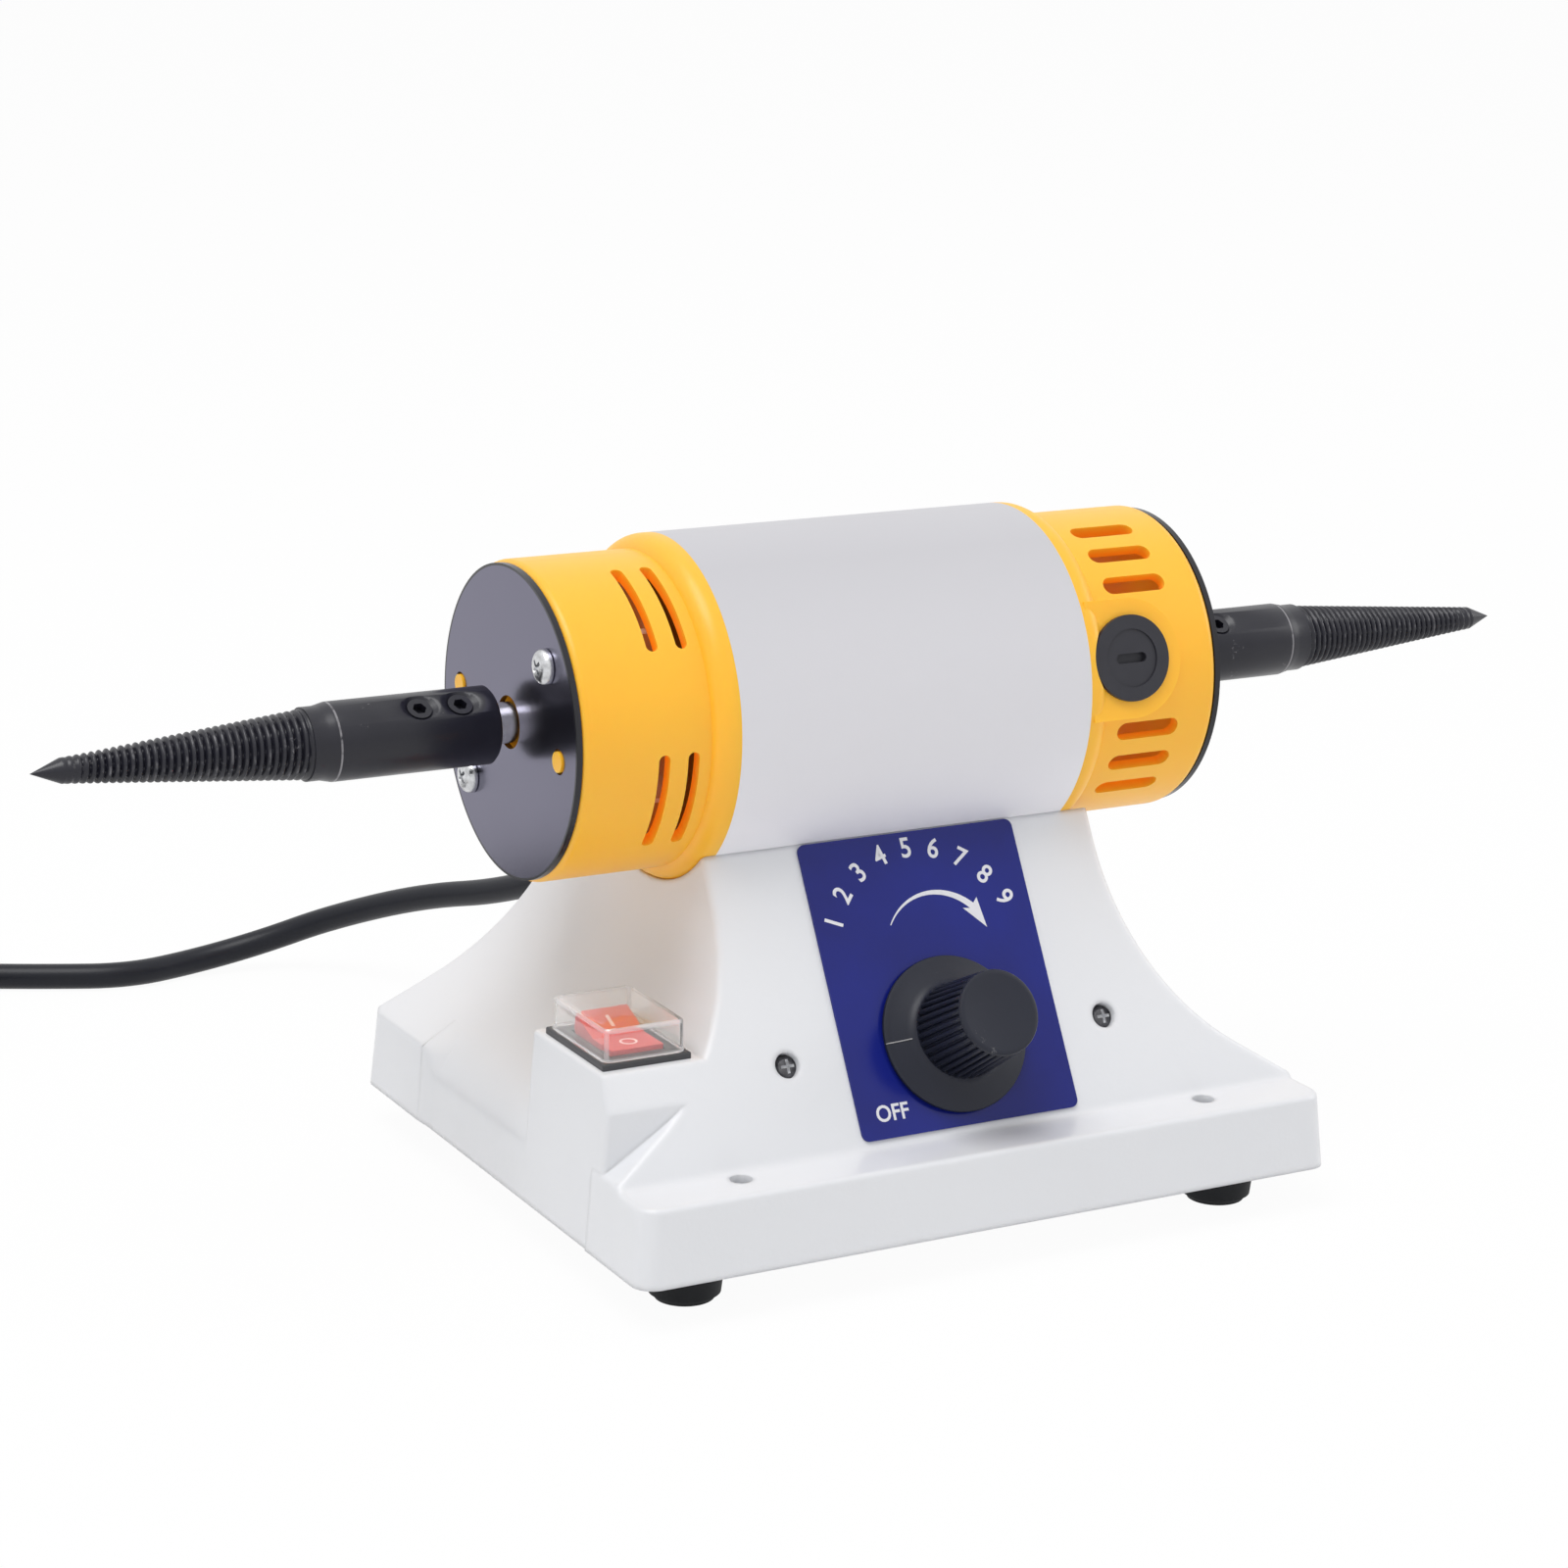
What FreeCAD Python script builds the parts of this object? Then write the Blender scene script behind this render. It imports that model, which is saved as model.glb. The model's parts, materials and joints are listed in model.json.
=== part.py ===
"""Dental polishing lathe: a double-ended bench motor on a cast base.

The origin lies on the surface that the lathe stands on, midway between the two spindle
points and straight below the motor axis. X runs along that axis, -Y is the front with
the speed control, and Z points up. Lengths are millimetres and angles degrees.
"""
import FreeCAD, Part
import math
import os
import re

import Sketcher
from FreeCAD import Placement, Rotation, Vector

doc = FreeCAD.newDocument("polishing_lathe")
sizes = doc.addObject("Spreadsheet::Sheet", "sizes")

# Driving dimensions -----------------------------------------------------------------

DRIVING = [
    # motor
    ("axis_height", 126.6, "motor axis above the table"),
    ("sleeve_length", 97.5, "steel sleeve round the field"),
    ("sleeve_radius", 42.5, "outside of the sleeve"),
    ("sleeve_wall", 2.5, "sheet of the sleeve"),
    ("cap_length", 39.5, "end cap, from the sleeve to its flat end"),
    ("lip_step", 3.5, "barrel of an end cap below the sleeve"),
    ("cap_wall", 3.0, "moulded wall of an end cap"),
    ("cap_edge", 2.0, "rounded outer edge of an end cap"),
    ("lip_flat", 1.5, "straight part of the lip against the sleeve"),
    ("lip_length", 6.2, "lip from the sleeve to the barrel"),
    ("spigot_length", 6.0, "cap register inside the sleeve"),
    ("spigot_wall", 2.5, "wall of that register"),
    ("end_wall", 5.0, "flat end of a cap"),
    ("disc_margin", 0.7, "black cover disc inside the barrel's outline"),
    ("disc_thickness", 1.5, "black cover disc"),
    ("disc_clearance", 1.5, "hole in cap and disc round the shaft"),
    ("disc_fix_radius", 28.5, "pitch radius of disc screws and pins"),
    ("disc_screw_turn", 40.0, "angle of the disc screws above the front"),
    ("disc_pin_turn", -6.5, "angle of the locating pins above the front"),
    ("pin_radius", 2.5, "locating pin"),
    ("pin_proud", 0.5, "pin end beyond the disc"),
    ("pin_clearance", 0.6, "disc hole round a pin"),
    ("disc_screw_radius", 2.0, "disc screw shank"),
    ("disc_head_radius", 4.3, "disc screw head"),
    ("disc_head_height", 2.8, "disc screw head"),
    ("disc_screw_depth", 4.5, "disc screw in the cap"),
    # vents
    ("fan_slot_width", 3.0, "round-the-barrel slot"),
    ("fan_slot_first", 10.8, "first slot from the sleeve"),
    ("fan_slot_pitch", 7.7, "second slot beyond the first"),
    ("fan_slot_sweep", 35.0, "angle of one slot"),
    ("fan_slot_turn", 16.0, "angle between the slot groups above the front"),
    ("fan_slot_spread", 38.0, "angle of a slot group from that middle"),
    ("brush_turn", 14.0, "angle of the brush axis above the front"),
    ("brush_slot_first", 28.0, "angle of the first axial slot from the brush axis"),
    ("brush_slot_pitch", 14.0, "angle between axial slots"),
    ("brush_slot_width", 4.8, "axial slot"),
    ("brush_slot_length", 18.0, "axial slot"),
    ("brush_slot_start", 10.9, "axial slot from the sleeve"),
    # brush gear
    ("brush_offset", 12.8, "brush axis from the sleeve"),
    ("boss_radius", 15.0, "flat boss round a brush holder"),
    ("boss_rise", 1.4, "flat of that boss above the barrel"),
    ("holder_radius", 10.8, "ring of the brush holder"),
    ("holder_rim", 1.2, "thickness of that ring"),
    ("holder_gap", 0.5, "lip cut back round that ring"),
    ("holder_tube", 8.2, "tube of the holder"),
    ("holder_bore", 5.2, "bore of that tube"),
    ("holder_reach", 8.0, "inner end of the tube above the commutator"),
    ("brush_cap_radius", 7.3, "slotted cap of the holder"),
    ("brush_cap_depth", 5.0, "that cap into the tube"),
    ("brush_cap_sink", 0.4, "face of that cap below the ring"),
    ("brush_cap_slot", 2.4, "driver slot width"),
    ("brush_cap_slot_length", 8.8, "driver slot length"),
    ("brush_cap_slot_depth", 1.4, "driver slot depth"),
    ("brush_width", 6.0, "carbon brush along the axis"),
    ("brush_height", 8.0, "carbon brush across"),
    ("brush_length", 13.0, "carbon brush, radial"),
    ("brush_gap", 0.3, "brush end to the commutator"),
    ("spring_wire", 0.6, "radius of the spring's wire"),
    ("spring_pitch", 1.1, "turns of the spring apart"),
    # rotor
    ("shaft_radius", 5.0, "motor shaft"),
    ("shaft_engagement", 25.0, "shaft inside a spindle"),
    ("bearing_radius", 13.0, "ball bearing outside"),
    ("bearing_width", 8.0, "ball bearing"),
    ("bearing_seat", 3.0, "cap wall behind the bearing"),
    ("race_thickness", 2.2, "bearing ring"),
    ("shield_gap", 0.3, "bearing shield to the inner ring"),
    ("shield_thickness", 0.6, "bearing shield"),
    ("seat_wall", 3.5, "wall round the bearing seat"),
    ("core_length", 44.0, "armature and field iron"),
    ("core_slots", 12, "count of winding slots"),
    ("core_slot_depth", 7.0, "winding slot"),
    ("core_slot_width", 3.2, "winding slot"),
    ("air_gap", 0.6, "armature to the pole shoes"),
    ("winding_length", 12.0, "end turns of the armature"),
    ("winding_step", 3.0, "end turns below the armature iron"),
    ("commutator_radius", 13.0, "commutator"),
    ("commutator_length", 18.0, "commutator"),
    ("riser_length", 3.0, "commutator collar where the wires end"),
    ("riser_step", 1.5, "that collar above the commutator"),
    ("fan_room", 4.0, "fan blades to the cap wall"),
    ("fan_width", 12.0, "cooling fan blades"),
    ("fan_plate", 1.5, "back plate and blades of the fan"),
    ("fan_hub", 8.5, "fan hub"),
    ("fan_blades", 9, "count of fan blades"),
    ("fan_start", 9.0, "fan from the sleeve"),
    ("yoke", 4.0, "ring of the field iron"),
    ("pole_half", 10.0, "half the neck of a pole"),
    ("shoe", 4.0, "pole shoe"),
    ("shoe_half", 20.0, "half the width of a pole shoe"),
    ("coil_width", 5.6, "field coil beside the pole neck"),
    ("coil_height", 3.0, "field coil, radial"),
    ("coil_room", 4.4, "radial room round a field coil"),
    ("coil_overhang", 7.0, "field coil beyond the iron"),
    # spindles
    ("left_gap", 5.4, "spindle to the left disc"),
    ("right_gap", 2.2, "spindle to the right disc"),
    ("spindle_length", 112.9, "whole spindle"),
    ("spindle_radius", 9.5, "spindle body"),
    ("spindle_edge", 0.8, "chamfer at the inner end"),
    ("body_length", 41.0, "plain body"),
    ("neck_cone", 3.0, "cone from the body to the collar"),
    ("neck_step", 0.7, "collar below the body"),
    ("neck_length", 3.3, "collar before the thread"),
    ("thread_step", 0.4, "thread below the collar"),
    ("point_length", 7.2, "plain point"),
    ("point_radius", 3.0, "thread at the point"),
    ("bore_room", 3.0, "spindle bore beyond the shaft"),
    ("grub_first", 9.3, "first set screw from the inner end"),
    ("grub_pitch", 10.4, "set screws apart"),
    ("grub_turn", 54.7, "angle of the set screws above the front"),
    ("grub_radius", 3.0, "M6 set screw"),
    ("grub_sink", 0.9, "set screw below the spindle's crest"),
    ("grub_socket", 1.73, "corner radius of its hexagon socket"),
    ("grub_socket_depth", 2.2, "hexagon socket"),
    ("spot_radius", 5.0, "spot face round a set screw"),
    ("spot_depth", 1.3, "spot face below the crest"),
    # base casting
    ("base_shift", 2.3, "middle of the base from the middle of the sleeve"),
    ("base_length", 193.0, "base along X at its foot"),
    ("base_depth", 166.0, "base along Y at its foot"),
    ("base_bottom", 11.0, "casting above the table"),
    ("flange_height", 19.0, "rim of the base"),
    ("draft", 4.6, "angle of the rim from upright"),
    ("corner_radius", 5.5, "upright corners"),
    ("wall", 4.0, "wall of the casting"),
    ("front_rim", 15.8, "front face behind the foot of the front wall"),
    ("back_rim", 2.0, "back face inside the foot of the back wall"),
    ("saddle_drop", 30.4, "top of the pedestal below the motor axis"),
    ("saddle_wall", 5.0, "casting below the motor"),
    ("neck_over", 5.95, "pedestal beyond the sleeve at either end"),
    ("flare_drop", 8.2, "side starts to flare below the pedestal's top"),
    ("flare_turn", 21.785, "angle between the side's slope and its chord"),
    ("runout_in", 0.1, "side slope ends this far inside the foot"),
    ("scoop_step", 0.5, "side wall set in between its corners"),
    ("scoop_round", 20.0, "soft shoulder between side wall and slope"),
    ("scoop_front_in", 30.2, "front end of that stretch from the foot"),
    ("scoop_back_in", 36.0, "back end of that stretch from the foot"),
    ("pedestal_round", 1.6, "rounded edges of the pedestal"),
    ("foot_fillet", 2.0, "hollow where the front face meets the rim"),
    ("rim_round", 1.2, "rounded top edge of the rim"),
    # switch housing on the left side of the base
    ("box_height", 24.0, "switch housing above the rim"),
    ("box_front_in", 24.7, "its front face from the foot"),
    ("box_length", 43.0, "switch housing along Y"),
    ("box_wall", 3.0, "its walls"),
    ("box_round", 1.0, "its rounded edges"),
    ("switch_in", 16.9, "switch from the foot of the side wall"),
    ("switch_back", 4.0, "switch frame from the back of its housing"),
    ("bezel_width", 23.2, "switch frame along X"),
    ("bezel_length", 32.0, "switch frame along Y"),
    ("bezel_height", 1.6, "switch frame"),
    ("bezel_lap", 1.2, "frame over the edge of its hole"),
    ("bezel_edge", 0.5, "rounded edge of the frame"),
    ("switch_depth", 17.0, "switch body below the frame"),
    ("switch_room", 1.0, "room below the switch body"),
    ("rocker_width", 13.4, "rocker along X"),
    ("rocker_half", 10.0, "half the rocker along Y"),
    ("rocker_rise", 3.0, "rocker ends above the frame at mid travel"),
    ("rocker_dip", 1.2, "rocker middle above the frame"),
    ("rocker_belly", 6.0, "rocker below the frame"),
    ("rocker_side", 1.0, "upright end of the rocker below its face"),
    ("rocker_pivot", 2.0, "pivot below the frame's face"),
    ("rocker_tilt", 10.0, "angle of the rocker either side of the middle"),
    ("rocker_pin", 1.2, "rocker pivot pin"),
    ("rocker_pin_in", 1.5, "that pin into the frame"),
    ("rocker_gap", 0.45, "rocker in its opening"),
    ("running_gap", 0.05, "radial clearance of turning pins and shafts"),
    ("cover_margin", 0.9, "clear cover inside the frame's edge"),
    ("cover_height", 8.1, "clear cover"),
    ("cover_wall", 0.8, "clear cover"),
    ("cover_round", 1.1, "its rounded edges"),
    # panel and speed control, on the front face
    ("panel_x", 0.9, "panel and knob from the middle of the base"),
    ("panel_width", 60.7, "blue panel"),
    ("panel_gap", 1.8, "panel above the rim, up the face"),
    ("panel_top_gap", 0.35, "panel below the top of the face"),
    ("panel_round", 2.0, "panel corners"),
    ("panel_thickness", 0.6, "blue panel"),
    ("knob_rise", 24.2, "knob above the rim, up the face"),
    ("skirt_radius", 19.5, "knob skirt"),
    ("skirt_start", 1.2, "skirt above the face"),
    ("skirt_rim", 1.1, "edge of the skirt"),
    ("grip_start", 5.2, "foot of the grip above the face"),
    ("grip_foot", 12.0, "grip radius at its foot"),
    ("grip_top", 10.7, "grip radius at its end"),
    ("knob_height", 25.3, "knob above the face"),
    ("knob_edge", 1.0, "chamfer at the end of the grip"),
    ("knob_room", 1.0, "hollow of the knob round the nut"),
    ("flutes", 36, "count of flutes round the grip"),
    ("flute_radius", 0.75, "one flute"),
    ("pot_radius", 8.5, "speed control body"),
    ("pot_depth", 8.0, "speed control body behind the wall"),
    ("pot_floor", 2.0, "bottom of that body"),
    ("bushing_radius", 3.5, "threaded bushing"),
    ("bushing_proud", 3.4, "bushing beyond the face"),
    ("pot_shaft", 3.0, "control shaft"),
    ("pot_shaft_end", 20.0, "control shaft beyond the face"),
    ("nut_corner", 5.8, "control nut, corner radius"),
    ("nut_height", 2.0, "control nut"),
    # front screws, board and bracket behind the front face
    ("recess_spread", 44.7, "front screws from the middle"),
    ("recess_rise", 23.2, "front screws above the rim, up the face"),
    ("recess_radius", 3.2, "front screw recess"),
    ("recess_depth", 5.5, "front screw recess"),
    ("recess_boss", 5.5, "boss behind the recess"),
    ("bracket_depth", 9.5, "bracket behind the front face"),
    ("bracket_margin", 6.3, "bracket beyond the front screws"),
    ("bracket_width", 20.0, "board bracket"),
    ("bracket_sheet", 1.5, "board bracket"),
    ("bracket_gap", 0.8, "bracket round the speed control"),
    ("front_head_radius", 2.9, "front screw head"),
    ("front_head_height", 2.0, "front screw head"),
    ("front_screw_radius", 1.5, "front screw shank"),
    ("spacer_spread", 33.0, "board spacers from the middle"),
    ("spacer_radius", 3.0, "board spacer"),
    ("spacer_length", 6.0, "board spacer"),
    ("board_length", 80.0, "control board"),
    ("board_width", 32.0, "control board"),
    ("board_sheet", 1.6, "control board"),
    ("capacitor_x", -24.0, "capacitor from the middle of the board"),
    ("capacitor_radius", 6.0, "capacitor"),
    ("capacitor_length", 14.0, "capacitor"),
    ("choke_x", 26.0, "choke from the middle of the board"),
    ("choke_radius", 7.5, "choke"),
    ("choke_length", 8.0, "choke"),
    ("sink_x", -6.0, "heat sink from the middle of the board"),
    ("sink_length", 18.0, "heat sink"),
    ("sink_width", 3.0, "heat sink"),
    ("sink_height", 16.0, "heat sink"),
    # underside
    ("plate_sheet", 1.5, "bottom plate"),
    ("plate_gap", 0.4, "bottom plate in the casting"),
    ("foot_in_x", 21.0, "feet from the foot of the side wall"),
    ("foot_in_y", 19.5, "feet from the foot of the front wall"),
    ("foot_top", 9.8, "foot radius at the plate"),
    ("foot_bottom", 8.7, "foot radius on the table"),
    ("foot_round", 1.5, "edge of a foot"),
    ("foot_bore", 4.4, "recess for the foot screw"),
    ("foot_floor", 5.0, "rubber above that recess"),
    ("foot_screw_radius", 2.0, "foot screw shank"),
    ("foot_head_radius", 3.8, "foot screw head"),
    ("foot_head_height", 2.4, "foot screw head"),
    ("foot_screw_grip", 9.0, "foot screw in the casting"),
    ("post_radius", 6.0, "screw posts inside the casting"),
    ("bench_in_x", 31.5, "bench holes from the foot of the side wall"),
    ("bench_in_y", 11.6, "bench holes from the foot of the front wall"),
    ("bench_radius", 2.75, "bench hole"),
    ("saddle_bolt_x", 32.0, "saddle bolts from the middle of the motor"),
    ("saddle_bolt_radius", 2.5, "M5 saddle bolt"),
    ("saddle_bolt_grip", 1.5, "bolt end inside the sleeve"),
    ("saddle_head", 4.6, "its hexagon head, corner radius"),
    ("saddle_head_height", 3.5, "its head"),
    ("wire_hole_x", 38.5, "wire hole from the middle of the motor"),
    ("wire_hole_radius", 3.6, "wire hole between base and motor"),
    # mains lead
    ("gland_x", -17.5, "strain relief from the middle of the base"),
    ("gland_rise", 8.5, "strain relief above the rim"),
    ("gland_flange", 8.5, "flange of the strain relief"),
    ("gland_rim", 2.5, "that flange"),
    ("gland_neck", 6.5, "strain relief in the wall"),
    ("gland_tail", 2.0, "strain relief inside the wall"),
    ("relief_length", 28.0, "sleeve of the strain relief beyond the face"),
    ("relief_root", 6.6, "its radius at the flange"),
    ("relief_tip", 4.6, "its radius at the end"),
    ("cord_radius", 3.7, "three-core lead"),
    ("cord_inside", 20.0, "lead inside the base"),
    ("cord_straight", 40.0, "lead straight out of the face"),
    ("coil_turns_wide", 3, "count of turns beside each other in the coil"),
    ("coil_turns_high", 2, "count of turns on each other in the coil"),
    ("coil_mean", 38.5, "middle radius of the coil"),
    ("coil_edge", 2.0, "chamfer of the coil"),
    ("coil_x", -218.0, "middle of the coil"),
    ("coil_y", 197.1, "middle of the coil"),
    ("tail_start", 171.0, "tail of the lead leaves the coil"),
    ("tail_bend", 150.0, "tail rises to the plug"),
    ("plug_radius", 18.5, "moulded plug"),
    ("plug_tail", 18.0, "strain relief of the plug"),
    ("plug_shoulder", 14.0, "cone of the plug behind its barrel"),
    ("plug_barrel", 10.0, "barrel of the plug"),
    ("plug_neck", 7.6, "plug where its cone starts"),
    ("plug_tilt", 15.0, "angle of the plug that leans on its barrel"),
    ("plug_pin_radius", 2.4, "plug pin"),
    ("plug_pin_spread", 9.5, "plug pins from the middle"),
    ("plug_pin_length", 19.0, "plug pin"),
]

DERIVED = [
    ("sleeve_bore", "sleeve_radius - sleeve_wall", "inside of the sleeve"),
    ("cap_radius", "sleeve_radius - lip_step", "barrel of an end cap"),
    ("disc_radius", "cap_radius - disc_margin", "black cover disc"),
    ("disc_bore", "shaft_radius + disc_clearance", "shaft hole in cap and disc"),
    ("motor_mid", "(left_gap - right_gap) / 2", "middle of the sleeve"),
    ("left_joint", "motor_mid - sleeve_length / 2", "sleeve to the fan cap"),
    ("right_joint", "motor_mid + sleeve_length / 2", "sleeve to the brush cap"),
    ("left_end", "left_joint - cap_length", "flat end of the fan cap"),
    ("right_end", "right_joint + cap_length", "flat end of the brush cap"),
    ("spindle_root", "right_end + disc_thickness + right_gap", "inner end of a spindle"),
    ("brush_x", "right_joint + brush_offset", "brush axis"),
    ("boss_face", "cap_radius + boss_rise", "flat of a boss from the motor axis"),
    ("ring_face", "boss_face + holder_rim", "face of a holder from the motor axis"),
    ("holder_depth", "commutator_radius + holder_reach", "inner end of a holder"),
    ("brush_near", "commutator_radius + brush_gap", "inner end of a brush"),
    ("spring_room", "ring_face - brush_cap_depth - brush_near - brush_length",
     "brush to its cap"),
    ("bearing_inner", "cap_length - bearing_seat - bearing_width", "bearing from the joint"),
    ("pole_radius", "sleeve_bore - yoke - coil_height - coil_room", "outside of a shoe"),
    ("core_radius", "pole_radius - shoe - air_gap", "armature iron"),
    ("winding_radius", "core_radius - winding_step", "end turns of the armature"),
    ("fan_radius", "cap_radius - cap_wall - fan_room", "cooling fan"),
    ("neck_start", "body_length + neck_cone", "end of the body cone"),
    ("thread_start", "neck_start + neck_length", "first thread"),
    ("neck_radius", "spindle_radius - neck_step", "collar before the thread"),
    ("thread_radius", "neck_radius - thread_step", "thread at the collar"),
    ("spindle_bore_depth", "shaft_engagement + bore_room", "bore for the shaft"),
    ("grub_length", "spindle_radius - shaft_radius - grub_sink", "set screw"),
    ("base_offset", "motor_mid + base_shift", "middle of the base from the origin"),
    ("flange_top", "base_bottom + flange_height", "top of the rim"),
    ("shell_half", "base_length / 2", "half the base"),
    ("shell_deep", "base_depth / 2", "half the base"),
    ("front_foot", "shell_deep - front_rim", "front face at the top of the rim"),
    ("back_foot", "shell_deep - back_rim", "back face at the top of the rim"),
    ("saddle_top", "axis_height - saddle_drop", "top of the pedestal"),
    ("saddle_half", "sqrt(sleeve_radius^2 - saddle_drop^2)", "half the saddle there"),
    ("pedestal_rise", "saddle_top - flange_top", "pedestal above the rim"),
    ("face_slope", "atan((front_foot - saddle_half) / pedestal_rise) / 1deg",
     "front and back faces from upright"),
    ("face_length", "pedestal_rise / cos(face_slope)", "front face up its slope"),
    ("neck_half", "sleeve_length / 2 + neck_over", "half the pedestal at its top"),
    ("flare_top", "saddle_top - flare_drop", "where the side starts to flare"),
    ("flare_end", "shell_half - runout_in", "side slope at the height of the rim"),
    ("flare_sweep", "flare_turn + atan((flare_end - neck_half) / (flare_top - flange_top))"
     " / 1deg", "angle of the hollow before the side runs straight"),
    ("flare_radius", "(neck_half + (flare_top - flange_top) * tan(flare_sweep) - flare_end)"
     " / (sin(flare_sweep) * tan(flare_sweep) - 1 + cos(flare_sweep))",
     "hollow side of the pedestal"),
    ("flare_x", "neck_half + flare_radius", "centre of the hollow side"),
    ("draft_run", "(saddle_top - base_bottom + 8) * tan(draft)", "rim slope up to the top"),
    ("scoop_front", "shell_deep - scoop_front_in", "soft stretch, front end"),
    ("scoop_back", "shell_deep - scoop_back_in", "soft stretch, back end"),
    ("box_top", "flange_top + box_height", "top of the switch housing"),
    ("box_front", "shell_deep - box_front_in", "its front face"),
    ("box_back", "box_front - box_length", "its back face"),
    ("switch_x", "switch_in - shell_half", "switch from the middle of the base"),
    ("switch_y", "-box_back - switch_back - bezel_length / 2", "switch"),
    ("bezel_top", "box_top + bezel_height", "face of the switch frame"),
    ("pivot_z", "bezel_top - rocker_pivot", "rocker pivot"),
    ("cover_width", "bezel_width - 2 * cover_margin", "clear cover along X"),
    ("cover_length", "bezel_length - 2 * cover_margin", "clear cover along Y"),
    ("panel_length", "face_length - panel_gap - panel_top_gap", "blue panel up the face"),
    ("panel_rise", "panel_gap + panel_length / 2", "middle of the panel up the face"),
    ("pot_back", "wall + pot_depth", "back of the speed control"),
    ("bracket_length", "2 * (recess_spread + bracket_margin)", "board bracket"),
    ("plate_x", "shell_half - scoop_step - wall - plate_gap - plate_sheet * tan(draft)",
     "half the bottom plate"),
    ("plate_y", "shell_deep - wall - plate_gap - plate_sheet * tan(draft)",
     "half the bottom plate"),
    ("foot_x", "shell_half - foot_in_x", "feet from the middle"),
    ("foot_y", "shell_deep - foot_in_y", "feet from the middle"),
    ("bench_x", "shell_half - bench_in_x", "bench holes from the middle"),
    ("bench_y", "shell_deep - bench_in_y", "bench holes in front of the middle"),
    ("seat_z", "axis_height - sleeve_radius - saddle_wall", "underside of the saddle"),
    ("gland_z", "flange_top + gland_rise", "strain relief on the back face"),
    ("back_y", "back_foot - gland_rise * tan(face_slope)", "back face there"),
    ("coil_band", "coil_turns_wide * cord_radius", "half the width of the coil"),
    ("coil_height_all", "coil_turns_high * 2 * cord_radius", "height of the coil"),
    ("outer_turn", "coil_mean + coil_band - cord_radius", "outermost turn of the coil"),
    ("plug_back", "plug_tail + plug_shoulder", "plug from its tail to its barrel"),
    ("plug_all", "plug_back + plug_barrel", "plug from its tail to its face"),
    ("plug_rise", "plug_radius * cos(plug_tilt) - plug_back * sin(plug_tilt)",
     "middle of the plug's tail above the table"),
    ("plug_y", "tail_bend - (plug_rise - cord_radius) / tan(plug_tilt)",
     "tail of the plug"),
]


def fill_sheet():
    """Write the driving numbers and the formulas that follow from them."""
    row = 1
    for alias, content, note in DRIVING + DERIVED:
        text = str(content) if (alias, content, note) in DRIVING else "=" + content
        sizes.set("A%d" % row, alias)
        sizes.set("B%d" % row, text)
        sizes.set("C%d" % row, note)
        sizes.setAlias("B%d" % row, alias)
        row += 1
    doc.recompute()


fill_sheet()
ALIASES = {alias for alias, _, _ in DRIVING + DERIVED}


def bound(text):
    """Turn each alias in an expression into a reference to the sheet."""
    return re.sub(r"[a-z][a-z_]*", lambda word: "sizes." + word[0] if word[0] in ALIASES
                  else word[0], str(text))


def number(text):
    """The present value of an expression."""
    return float(sizes.evalExpression(bound(text)))


# Helpers ----------------------------------------------------------------------------

X_AXIS, Y_AXIS, Z_AXIS = Vector(1, 0, 0), Vector(0, 1, 0), Vector(0, 0, 1)
nodes = {}


def solid(kind, name, **properties):
    """A document object whose properties are bound to expressions."""
    thing = doc.addObject(kind, name)
    for key, text in properties.items():
        thing.setExpression(key, bound(text))
    return thing


def place(thing, x="0", y="0", z="0", axis=Z_AXIS, angle="0"):
    """Put an object at a bound position, turned by a bound angle about an axis."""
    spot = Vector(number(x), number(y), number(z))
    thing.Placement = Placement(spot, Rotation(axis, number(angle)))
    for key, text in (("Base.x", x), ("Base.y", y), ("Base.z", z)):
        thing.setExpression("Placement." + key, bound(text))
    if angle != "0":
        thing.setExpression("Placement.Rotation.Angle", bound(angle))
    return thing


def rod(name, radius, length, x="0", y="0", z="0", axis=Z_AXIS, angle="0"):
    """A cylinder that starts at the given point; unturned, it points up."""
    return place(solid("Part::Cylinder", name, Radius=radius, Height=length),
                 x, y, z, axis, angle)


def block(name, length, width, height, x="0", y="0", z="0", axis=Z_AXIS, angle="0"):
    """A box whose corner lies at the given point."""
    return place(solid("Part::Box", name, Length=length, Width=width, Height=height),
                 x, y, z, axis, angle)


def cone(name, radius_a, radius_b, length, x="0", y="0", z="0", axis=Z_AXIS, angle="0"):
    """A truncated cone that starts with radius_a at the given point."""
    return place(solid("Part::Cone", name, Radius1=radius_a, Radius2=radius_b,
                       Height=length), x, y, z, axis, angle)


def fuse(name, *shapes):
    """One solid made of several."""
    joined = doc.addObject("Part::MultiFuse", name)
    joined.Shapes = list(shapes)
    joined.Refine = True
    return joined


def common(name, *shapes):
    """What several solids share."""
    shared = doc.addObject("Part::MultiCommon", name)
    shared.Shapes = list(shapes)
    return shared


def cut(name, base, *tools):
    """A solid with tools taken out of it."""
    result = doc.addObject("Part::Cut", name)
    result.Base = base
    result.Tool = tools[0] if len(tools) == 1 else fuse(name + "_tools", *tools)
    result.Refine = True
    return result


def group(name, *shapes):
    """Like pieces that share one node, as separate solids."""
    bundle = doc.addObject("Part::Compound", name)
    bundle.Links = list(shapes)
    return bundle


def node(name, thing):
    """Hand a finished object over as a sub-part of that name."""
    thing.Label = name
    nodes[name] = thing
    return thing


def rounded(name, base, radius, choose):
    """Round the edges of an object that a test picks."""
    doc.recompute()
    picked = [(i + 1, number(radius), number(radius))
              for i, edge in enumerate(base.Shape.Edges) if choose(edge)]
    soft = doc.addObject("Part::Fillet", name)
    soft.Base = base
    soft.Edges = picked
    return soft


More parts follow.
